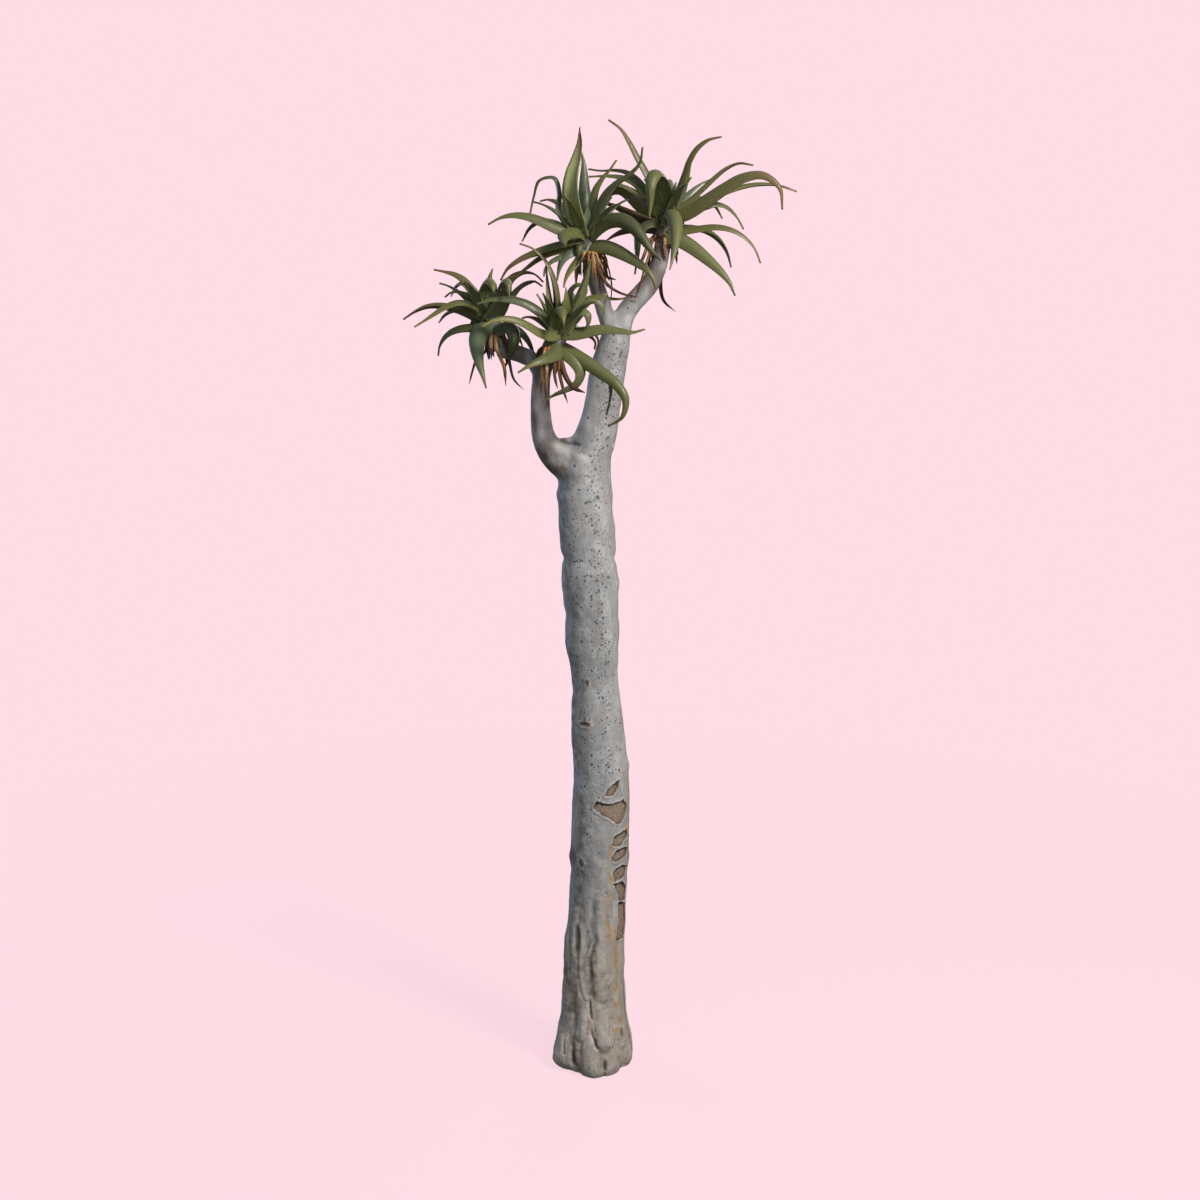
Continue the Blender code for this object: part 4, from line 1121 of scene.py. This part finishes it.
def shape_head(skin, normals):
    """The forms of the head, over x and height, where it faces -Y, with their painted highlights,
    painted shade, rims and specks.
    """
    front = eased(-normals[:, 1] * HEAD_FRONT)
    flat_turn, flat_radius = np.degrees(skin.points[:, 0]), np.ones(len(skin.points))
    for run, half, depth, mark, strength in HEAD_FORMS:
        flat = tuple((np.degrees(x), z) for x, z in run)
        form = front * bell(run_distance(flat_turn, skin.height, flat_radius, flat) / half)
        skin.out += depth * form
        if mark:
            skin.mark(mark, strength * form)


def weather(skin):
    """Warm tone low down, grey-brown patches, and older wood on the left and the right limb;
    patches and older wood are partly painted shade.
    """
    skin.marks["warm"] = eased((WARM_TOP - skin.height) / WARM_FADE)
    (left_x, left_z, right_z), (x_fade, left_fade, right_fade) = OLDER_AND_SHADED_WOOD, OLDER_AND_SHADED_FADE
    left = eased((left_x - skin.points[:, 0]) / x_fade)
    left = left * eased((skin.height - left_z) / left_fade)
    older_and_shaded = np.maximum(left, eased((skin.height - right_z) / right_fade))
    # Darker limbs: weathering and painted shade.
    skin.mark("weathering_and_shade", older_and_shaded * patchy(skin.points, "older_and_shaded"))
    for run, half, strength in SHADES:
        near = run_distance(skin.strayed, skin.level, skin.radius, run)
        dull = strength * bell(near / half) * patchy(skin.points, "weathering_and_shade")
        skin.mark("weathering_and_shade", skin.on_trunk * dull)


def darken_hollows_light_crests(skin, edges):
    """Hollows are darkened with dirt and painted shade, and the crests get a painted highlight."""
    (dark_start, dirt_and_shade), (highlight_start, painted_highlight) = HOLLOW_DIRT_AND_SHADE, CREST_HIGHLIGHT
    for rounds, deep in HOLLOWS:
        hollow = evened(skin.out, edges, rounds) - skin.out
        skin.mark("dirt_and_shade", dirt_and_shade * eased(hollow / deep - dark_start))
        skin.mark("painted_highlight", painted_highlight * eased(-hollow / deep - highlight_start))


def carve(points, normals, edges):
    """Move the bark's points to its relief. Returns them with what marks each of them."""
    skin = Skin(points)
    # Root flare, as in the solids.
    fade = np.maximum(0.0, 1.0 - np.maximum(skin.height, 0.0) / FLARE_HEIGHT) ** FLARE_FADE
    lobes = np.cos(FLARE_LOBES * np.radians(skin.turn) + FLARE_TURN)
    moved = points.copy()
    moved[:, :2] *= (1.0 + FLARE_DEPTH * fade * lobes)[:, None]

    for shape in (swell, lay_ropes, cut_grooves, tuck_foot, peel, raise_knots, stain_and_speckle):
        shape(skin)
    shape_head(skin, normals)
    weather(skin)
    darken_hollows_light_crests(skin, edges)
    return moved + normals * skin.out[:, None], skin.marks


def grow_tubes():
    """Every limb as a closed tube, with the stem that carries on inside its crown."""
    whole = bmesh.new()
    for line in (MAIN_LINE, LEFT_LINE, SIDE_LINE, MIDDLE_LINE, CROTCH_LINE):
        rings = ring_places(smooth_line(line, BARK_STEP))
        if line is MAIN_LINE:
            rings[0] = Matrix.Diagonal((line[0][3], line[0][3], 1.0, 1.0))
            rings.insert(0, Matrix.Translation((0.0, 0.0, -BELOW_GROUND)) @ rings[0])
        tip = rings[-1]
        for share, width in STEM_SHAPE[1:] if line is not CROTCH_LINE else ():
            narrowed = Matrix.Diagonal((width, width, 1.0, 1.0))
            rings.append(moved_along(tip, STEM_LENGTH * share) @ narrowed)
        merge_into(whole, sweep(round_outline(BARK_SIDES), rings))
    return whole


def soften(bm, centre, reach, rounds):
    """Smooth the bark near a fork, so that the limbs grow out of each other."""
    near = [vert for vert in bm.verts if (vert.co - Vector(centre)).length < reach]
    axes = {"use_axis_" + axis: True for axis in "xyz"}
    for _ in range(rounds):
        bmesh.ops.smooth_vert(bm, verts=near, factor=0.5, **axes)


def refine(bm, chosen):
    """Halve the bark's faces where it needs finer relief."""
    edges = {edge for face in bm.faces if chosen(face.calc_center_median()) for edge in face.edges}
    bmesh.ops.subdivide_edges(bm, edges=list(edges), cuts=1, use_grid_fill=True)


def needs_detail(spot):
    """The peeled side of the trunk and the front of its foot."""
    turn = np.degrees(np.arctan2(spot.y, spot.x - FINE_BARK_AXIS)) % 360.0
    return any(
        first < turn < last and bottom < spot.z <= top for first, last, bottom, top in FINE_BARK
    )


def make_bark(material):
    """One skin over the trunk, boughs and limbs, with its relief."""
    bark = solid("bark", grow_tubes(), [material])
    skin = bark.modifiers.new("skin", "REMESH")
    skin.mode = "VOXEL"
    skin.voxel_size = BARK_VOXEL
    settle(bark)
    bm = bmesh.new()
    bm.from_mesh(bark.data)
    for centre, reach, rounds in FORKS:
        soften(bm, centre, reach, rounds)
    refine(bm, needs_detail)
    bm.to_mesh(bark.data)
    bm.free()

    mesh = bark.data
    points = np.zeros(len(mesh.vertices) * 3, np.float32)
    normals = np.zeros(len(mesh.vertices) * 3, np.float32)
    edges = np.zeros(len(mesh.edges) * 2, np.int32)
    mesh.vertices.foreach_get("co", points)
    mesh.vertices.foreach_get("normal", normals)
    mesh.edges.foreach_get("vertices", edges)
    points, normals = (values.reshape(-1, 3).astype(float) for values in (points, normals))
    points, marks = carve(points, normals, edges.reshape(-1, 2))
    mesh.vertices.foreach_set("co", points.ravel().astype(np.float32))
    for name, values in marks.items():
        layer = mesh.attributes.new(name, "FLOAT", "POINT")
        layer.data.foreach_set("value", np.clip(values, 0.0, 1.0).astype(np.float32))

    # Cut flat at the ground, and close the cut.
    bm = bmesh.new()
    bm.from_mesh(mesh)
    everything = [*bm.verts, *bm.edges, *bm.faces]
    bmesh.ops.bisect_plane(bm, geom=everything, dist=CUT_TOLERANCE, plane_co=(0, 0, 0),
                           plane_no=(0, 0, 1), clear_inner=True)
    open_edges = [edge for edge in bm.edges if edge.is_boundary]
    bmesh.ops.holes_fill(bm, edges=open_edges, sides=0)
    bmesh.ops.recalc_face_normals(bm, faces=bm.faces)
    for vert in bm.verts:
        vert.co.z = max(vert.co.z, 0.0)
    for face in bm.faces:
        face.smooth = face.normal.z > STRAIGHT_DOWN or face.calc_center_median().z > FLAT_BELOW
    bm.to_mesh(mesh)
    bm.free()
    return bark


# ================================================================ leaves


def leaf_places(root, row, stations, grow=0.0):
    """Placings along a leaf, as in the solids: its run bends from its first rise to its last."""
    heading, rise, length, width, roll = row
    places = []
    start = radians(heading[0])
    point = Vector(root) + Vector((cos(start), sin(start), 0.0)) * ROOT_REACH
    for index, t in enumerate(np.linspace(0.0, 1.0, stations)):
        up = radians(np.interp(t, np.linspace(0.0, 1.0, len(rise)), rise))
        turn = radians(np.interp(t, (0.0, 1.0), heading))
        along = Vector((cos(up) * cos(turn), cos(up) * sin(turn), sin(up)))
        face = Vector((-sin(up) * cos(turn), -sin(up) * sin(turn), cos(up)))
        if index:
            point = point + (along + last).normalized() * length / (stations - 1)
        face = Matrix.Rotation(radians(np.interp(t, (0.0, 1.0), roll)), 3, along) @ face
        taper = max(cos(pi / 2 * t), LEAF_TIP)
        wide = width * taper + 2 * grow
        thick = (max(LEAF_THICKNESS * width * taper, THINNEST_LEAF) + 2 * grow) / LEAF_THICKNESS
        places.append(placed(point, along.cross(face) * wide, face * thick, along))
        last = along
    return places


def finer(places, stations, width, twist, taper, reach=1.0, aside=0.0):
    """The same run with more stations, twisted a little as it goes out and drawn to its own point.

    It can stop at a share of the run, and stray aside from it.
    """
    knots = np.array([
        (*place.translation, *place.col[0].to_3d().normalized(), *place.col[2].to_3d())
        for place in places
    ])
    slopes = np.gradient(knots, axis=0)
    root, more = TORN_ROOT
    fine = []
    for at in np.linspace(0.0, reach * (len(knots) - 1), stations):
        index = min(int(at), len(knots) - 2)
        row = between(at - index, *knots[index:index + 2], *slopes[index:index + 2])
        share = at / (len(knots) - 1) / reach
        along = Vector(row[6:9]).normalized()
        side = Vector(row[3:6])
        side = (side - along * side.dot(along)).normalized()
        side = Matrix.Rotation(radians(twist) * share, 3, along) @ side
        face = along.cross(side)
        wide, thick = taper(share, width)
        strayed = side * aside * (root + more * share)
        fine.append(placed(Vector(row[:3]) + strayed, side * wide, face * thick, along))
    return fine


def leaf_taper(share, width):
    """Width and thickness scale of a living leaf at a share of its length."""
    wide = width * (BLADE_WIDTH * max(cos(pi / 2 * share), 0.0) ** BLADE_TAPER)
    return max(wide, NARROWEST_BLADE), max(wide, THINNEST_BLADE)


def dead_taper(share, width):
    """Width and thickness scale of a dead leaf at a share of its length."""
    (ends, more), (end, tail) = STRIP_TAPER, STRIP_END
    taper = STRIP_WIDTH * (ends + more * sin(pi * share)) * min(1.0, (end - share) / tail)
    return (max(width * taper, THINNEST_STRIP),) * 2


def leaf_outline():
    """Cross-section of a leaf of unit width in the solids."""
    return (
        (-0.50, LEAF_DISH),
        (-KEEL_FLAT, -KEEL_DROP),
        (KEEL_FLAT, -KEEL_DROP),
        (0.50, LEAF_DISH),
        (0.0, LEAF_THICKNESS - KEEL_DROP),
    )


def bowed(points, half, curve, low, rise):
    """Points across a curve that is low in the middle and rises to both sides."""
    return [(u, rise * (2 * abs(u)) ** curve + low) for u in np.linspace(-half, half, points)]


def fleshy_outline():
    """A finer cross-section of the same leaf: full and round below, a smooth channel above."""
    trough = LEAF_THICKNESS - KEEL_DROP
    below = bowed(*BELLY, -KEEL_DROP, LEAF_DISH - MARGIN_DROP + KEEL_DROP)
    above = bowed(*CHANNEL, trough, LEAF_DISH - trough)
    return below + above[::-1]


def dead_outline():
    """Cross-section of a dead leaf of unit width in the solids: a curled strip."""
    return ((-0.50, DEAD_CURL), (0.0, -DEAD_SAG), (0.50, DEAD_CURL), (0.0, DEAD_CURL))


def papery_outline():
    """A finer cross-section of a dead leaf: the same curl in thin skin."""
    points, curve = STRIP_CURL
    under = bowed(points, 0.5, curve, -DEAD_SAG, DEAD_CURL + DEAD_SAG)
    return under + [(u, v + STRIP_SKIN) for u, v in reversed(under[1:-1])]


def back_rows(headings, seed):
    """Rows for the leaves at the back of a crown, by the same seeded rule as the solids."""
    dice = random.Random(seed)
    rows = []
    for index, tint in enumerate(BACK_TINTS):
        share = (index + dice.random() * BACK_JITTER) / len(BACK_TINTS)
        heading = headings[0] + (headings[1] - headings[0]) * (index * BACK_SPREAD % 1.0)
        root = BACK_ROOT[0] + (BACK_ROOT[1] - BACK_ROOT[0]) * share
        rise = BACK_RISE[0] + (BACK_RISE[1] - BACK_RISE[0]) * share
        droop = dice.uniform(*BACK_DROOP)
        length = dice.uniform(*BACK_LENGTH)
        drift = dice.uniform(-BACK_SWING, BACK_SWING)
        bends = (rise, rise - droop * BACK_BEND[0], rise - droop * BACK_BEND[1])
        rows.append((root, (heading, heading + drift), bends, length, BACK_WIDTH, (0, 0), tint))
    return rows


def young_rows(seed):
    """Short upright leaves round the growing point."""
    dice = random.Random(seed)
    rows = []
    for index in range(YOUNG_LEAVES):
        heading = index * GOLDEN_TURN + dice.uniform(-YOUNG_STRAY, YOUNG_STRAY)
        length = YOUNG_LENGTH[0] + (YOUNG_LENGTH[1] - YOUNG_LENGTH[0]) * index / (YOUNG_LEAVES - 1)
        rise = YOUNG_RISE - YOUNG_OPENING * index
        bends = tuple(rise - bend * index for bend in YOUNG_BEND)
        tint = YOUNG_TINTS[index % len(YOUNG_TINTS)]
        rows.append((YOUNG_ROOT, (heading, heading), bends, length, YOUNG_WIDTH, (0, 0), tint))
    return rows


def litter_rows(seed):
    """Short dead strips all round the foot of a crown, between the long ones."""
    dice = random.Random(seed)
    rows = []
    for index in range(LITTER):
        heading = index * GOLDEN_TURN + dice.uniform(-LITTER_STRAY, LITTER_STRAY)
        bends = tuple(dice.uniform(*span) for span in LITTER_RISE)
        length = dice.uniform(*LITTER_LENGTH)
        swung = heading + dice.uniform(-LITTER_SWING, LITTER_SWING)
        width = dice.uniform(*LITTER_WIDTH)
        rows.append(((heading, swung), bends, length, width, dice.choice(LITTER_TINTS)))
    return rows


def tone_steps():
    """The leaf materials: each tint in steps from body to tip, for above and for below, the copy
    for below darkened as painted shade.
    """
    under, lean = UNDERSIDE_SHADE
    slots = {}
    materials = []
    for name, (body, outer, tip, _) in TINTS.items():
        body, outer, tip = linear(body), linear(outer), linear(tip)
        for step in range(LEAF_STEPS):
            share = step / (LEAF_STEPS - 1) * 2
            tone = blended(body, outer, share) if share < 1 else blended(outer, tip, share - 1)
            for side in ("above", "below"):
                # The copy for below is darkened as painted shade.
                colour = tone if side == "above" else blended(tone, linear(under), lean)
                slots[name, side, step] = len(materials)
                materials.append(leaf_material(f"leaf_{name}_{side}_{step}", colour))
    return slots, materials


def dead_steps():
    """The dead leaf materials, from the orange of a fresh one to old dark brown."""
    return [
        dead_material(f"dead_leaf_{index}", linear(code)) for index, code in enumerate(DEAD_COLOURS)
    ]


def dress_leaf(bm, places, tint, slots, dice):
    """Deal the tint's tones out to the faces of a leaf, from its root to its tip."""
    number = bm.faces.layers.int["station"]
    start = TINTS[tint][3] + dice.uniform(-TONE_STRAY, TONE_STRAY)
    for face in bm.faces:
        station = min(face[number], len(places) - 1)
        share = station / len(places)
        place = places[station]
        across = place.col[0].to_3d()
        off = (face.calc_center_median() - place.translation).dot(across) / across.length_squared
        side = "above" if face.normal.dot(place.col[1].to_3d()) > 0.0 else "below"
        reach = (share - start) / (TONE_END - start) * LEAF_STEPS
        reach = max(reach + dice.uniform(-TONE_MOTTLE, TONE_MOTTLE), dice.choice(BODY_STEPS))
        reach += MARGIN_LEAD if abs(off) > MARGIN_AT else 0.0
        face.material_index = slots[tint, side, int(min(reach, LEAF_STEPS - 1))]
        face.smooth = True


def dress_strip(bm, stations, tint, dice):
    """Darken a dead leaf from its root to its end."""
    number = bm.faces.layers.int["station"]
    first = DEAD_TINTS.index(tint)
    last = len(DEAD_COLOURS) - 1
    for face in bm.faces:
        step = first + (last - first) * (face[number] / stations) ** DEAD_FADE
        step += dice.uniform(-DEAD_MOTTLE, DEAD_MOTTLE)
        face.material_index = int(min(max(round(step), 0), last))
        face.smooth = True


def merge_into(whole, part):
    """Add one bmesh to another, and free it."""
    mesh = bpy.data.meshes.new("part")
    part.to_mesh(mesh)
    part.free()
    whole.from_mesh(mesh)
    bpy.data.meshes.remove(mesh)


def tree_of_blade(outline, places):
    """A search tree of a blade's faces."""
    bm = sweep(outline, places)
    tree = BVHTree.FromBMesh(bm)
    bm.free()
    return tree


def choose_blades(crowns, limbs):
    """Every blade that touches no limb and no other crown's blade, by the rule of the solids."""
    chosen = {name: [] for name, *_ in crowns}
    trees = {name: [] for name, *_ in crowns}
    for kind in ("live", "dead", "back"):
        for name, tip, leaves, dead, back in crowns:
            axis = tip.col[2].to_3d().normalized()
            others = list(limbs)
            for other, grown in trees.items():
                if other != name:
                    others += grown
            if kind == "dead":
                rows = [(DEAD_HEIGHT, *row[:-1], (0, 0), row[-1]) for row in dead]
            else:
                rows = leaves if kind == "live" else back_rows(*back)
            outline = dead_outline() if kind == "dead" else leaf_outline()
            stations = DEAD_STATIONS if kind == "dead" else LEAF_STATIONS
            for height, *row, tint in rows:
                root = tip.translation + axis * (COLLAR + height)
                fat = tree_of_blade(outline, leaf_places(root, row, stations, CLEARANCE))
                if any(fat.overlap(other) for other in others):
                    continue
                places = leaf_places(root, row, stations)
                trees[name].append(tree_of_blade(outline, places))
                chosen[name].append((kind, places, row[3], tint))
    return chosen


def grow_leaf(places, width, stations, dice):
    """A living leaf with small teeth along its margins."""
    fine = finer(places, stations, width, dice.uniform(-LEAF_TWIST, LEAF_TWIST), leaf_taper)
    for index in range(2, stations - 2, 2):
        wide = fine[index].col[0].to_3d().length
        fine[index] = fine[index] @ Matrix.Diagonal((1.0 + 2 * TOOTH / wide, 1.0, 1.0, 1.0))
    return sweep(fleshy_outline(), fine), fine


def grow_strips(dry, places, width, tint, dice):
    """A dead leaf, torn lengthwise into strips that part and end raggedly."""
    count = max(1, round(width / TORN_WIDTH))
    for index in range(count):
        aside = ((index + 0.5) / count - 0.5) * width * TORN_FAN
        reach = 1.0 if index == 0 else dice.uniform(*TORN_LENGTH)
        twist = dice.uniform(-DEAD_TWIST, DEAD_TWIST)
        fine = finer(places, FINE_STRIP, width / count, twist, dead_taper, reach, aside)
        strip = sweep(papery_outline(), fine)
        dress_strip(strip, FINE_STRIP, tint, dice)
        merge_into(dry, strip)


def grow_crown(name, tip, blades, seed, slots, leaf_set, dead_set):
    """The living leaves of a crown as one piece, and its dead leaves as another."""
    dice = random.Random(seed)
    axis = tip.col[2].to_3d().normalized()
    live = bmesh.new()
    dry = bmesh.new()
    for kind, places, width, tint in blades:
        if kind == "dead":
            grow_strips(dry, places, width, tint, dice)
        else:
            leaf, fine = grow_leaf(places, width, FINE_STATIONS, dice)
            dress_leaf(leaf, fine, tint, slots, dice)
            merge_into(live, leaf)
    for height, *row, tint in young_rows(seed):
        places = leaf_places(tip.translation + axis * (COLLAR + height), row, LEAF_STATIONS)
        leaf, fine = grow_leaf(places, row[3], FINE_STATIONS // 2, dice)
        dress_leaf(leaf, fine, tint, slots, dice)
        merge_into(live, leaf)
    for *row, tint in litter_rows(seed):
        root = tip.translation + axis * (COLLAR + DEAD_HEIGHT + dice.uniform(*LITTER_ROOT))
        places = leaf_places(root, (*row, (0, 0)), DEAD_STATIONS)
        grow_strips(dry, places, row[3], tint, dice)
    return solid(name + "_leaves", live, leaf_set), solid(name + "_dead_leaves", dry, dead_set)


# ================================================================ studio


BACKDROP = "#ffdde6"
FLOOR_RADIUS = 60.0
FLOOR_TONE = "#6e5f62"       # lit by the lamps, over the backdrop's own glow
FLOOR_GLOW = 0.86
FLOOR_FADE = (0.3, 3.6)      # from where to where it turns into the backdrop
# The light from the room is cool from above and dim from below.
ROOM_BELOW = "#5c5650"
ROOM_ABOVE = "#c8d0db"
ROOM_TURN = (-0.25, 0.45)
ROOM_FILL = 0.42
# Soft square lamps: name, place, height on the tree that each is aimed at, size, power, colour.
LAMPS = (
    ("key", (2.7, -2.6, 4.4), 1.3, 1.1, 205.0, "#fff9f4"),
    ("front", (0.7, -4.6, 1.7), 1.5, 2.5, 60.0, "#eaeef2"),
    ("back", (0.9, 4.5, 3.0), 1.4, 2.4, 46.0, "#f3f1ee"),
    ("cool_side", (-3.0, 2.3, 1.9), 1.2, 1.5, 56.0, "#a9c9ea"),
)
CAMERA_PLACE = (0.021, -4.3625, 2.2642)
CAMERA_TILT = 78.0           # degrees up from straight down
CAMERA_REACH = 200.0


def make_floor():
    """A wide pale floor that fades into the backdrop's tone far out."""
    bm = bmesh.new()
    bmesh.ops.create_circle(bm, cap_ends=True, segments=96, radius=FLOOR_RADIUS)
    material, tree, shader = new_material("studio_floor")
    shader.inputs["Base Color"].default_value = (*linear(FLOOR_TONE), 1.0)
    shader.inputs["Roughness"].default_value = 1.0
    shader.inputs["Specular IOR Level"].default_value = 0.0
    shader.inputs["Emission Color"].default_value = (*linear(BACKDROP), 1.0)
    shader.inputs["Emission Strength"].default_value = FLOOR_GLOW
    place = add(tree, "TexCoord", output="Object")
    out = add(tree, "VectorMath", {0: place}, "Value", operation="LENGTH")
    near, far = FLOOR_FADE
    fade = add(tree, "MapRange", {0: out, 1: near, 2: far}, interpolation_type="SMOOTHSTEP")
    glow = add(tree, "Emission", {"Color": BACKDROP, "Strength": 1.0})
    both = add(tree, "MixShader", {0: fade, 1: shader.outputs[0], 2: glow})
    tree.links.new(both, tree.nodes["Material Output"].inputs["Surface"])
    floor = solid("floor", bm, [material])
    floor.visible_diffuse = False
    floor.visible_glossy = False


def make_light(name, place, target, size, power, colour):
    """A soft square lamp aimed at a point."""
    lamp = bpy.data.lights.new(name, "AREA")
    lamp.shape = "SQUARE"
    lamp.size = size
    lamp.energy = power
    lamp.color = linear(colour)
    holder = bpy.data.objects.new(name, lamp)
    holder.location = place
    holder.rotation_euler = (Vector(target) - Vector(place)).to_track_quat("-Z", "Y").to_euler()
    bpy.context.scene.collection.objects.link(holder)


def make_studio():
    """Backdrop, lamps and camera."""
    scene = bpy.context.scene
    scene.view_settings.view_transform = "Standard"
    world = bpy.data.worlds.new("studio")
    scene.world = world
    world.use_nodes = True
    tree = world.node_tree
    seen = add(tree, "Background", {"Color": BACKDROP, "Strength": 1.0})
    way = add(tree, "TexCoord", output="Generated")
    height = add(tree, "SeparateXYZ", {0: way}, "Z")
    low, high = ROOM_TURN
    share = add(tree, "MapRange", {0: height, 1: low, 2: high}, interpolation_type="SMOOTHSTEP")
    sky = add(tree, "Mix", {0: share, 6: ROOM_BELOW, 7: ROOM_ABOVE}, 2, data_type="RGBA")
    fill = add(tree, "Background", {"Color": sky, "Strength": ROOM_FILL})
    path = add(tree, "LightPath", output="Is Camera Ray")
    both = add(tree, "MixShader", {0: path, 1: fill, 2: seen})
    tree.links.new(both, tree.nodes["World Output"].inputs["Surface"])

    for name, place, height, size, power, colour in LAMPS:
        make_light(name, place, (0.0, 0.0, height), size, power, colour)

    camera = bpy.data.cameras.new("camera")
    camera.lens = 50.0
    camera.sensor_width = 36.0
    camera.clip_end = CAMERA_REACH
    holder = bpy.data.objects.new("camera", camera)
    holder.location = CAMERA_PLACE
    holder.rotation_euler = (radians(CAMERA_TILT), 0.0, 0.0)
    scene.collection.objects.link(holder)
    scene.camera = holder


# ================================================================ the tree


def dress_tree():
    """Bark and crowns, each riding on the one body and standing for its solids."""
    bark = make_bark(bark_material())
    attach(bark, "root")
    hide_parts(*LIMB_NODES)

    slots, leaf_set = tone_steps()
    dead_set = dead_steps()
    crowns = [(name, ring_places(smooth_line(line, SOURCE_STEP))[-1], *grown)
              for name, line, *grown in CROWNS]
    blades = choose_blades(crowns, [tree_of_object(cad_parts[name]) for name in LIMB_NODES])
    for name, tip, _, _, (_, seed) in crowns:
        for piece in grow_crown(name, tip, blades[name], seed, slots, leaf_set, dead_set):
            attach(piece, "root")
            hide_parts(name + "_crown")


dress_tree()
make_floor()
make_studio()
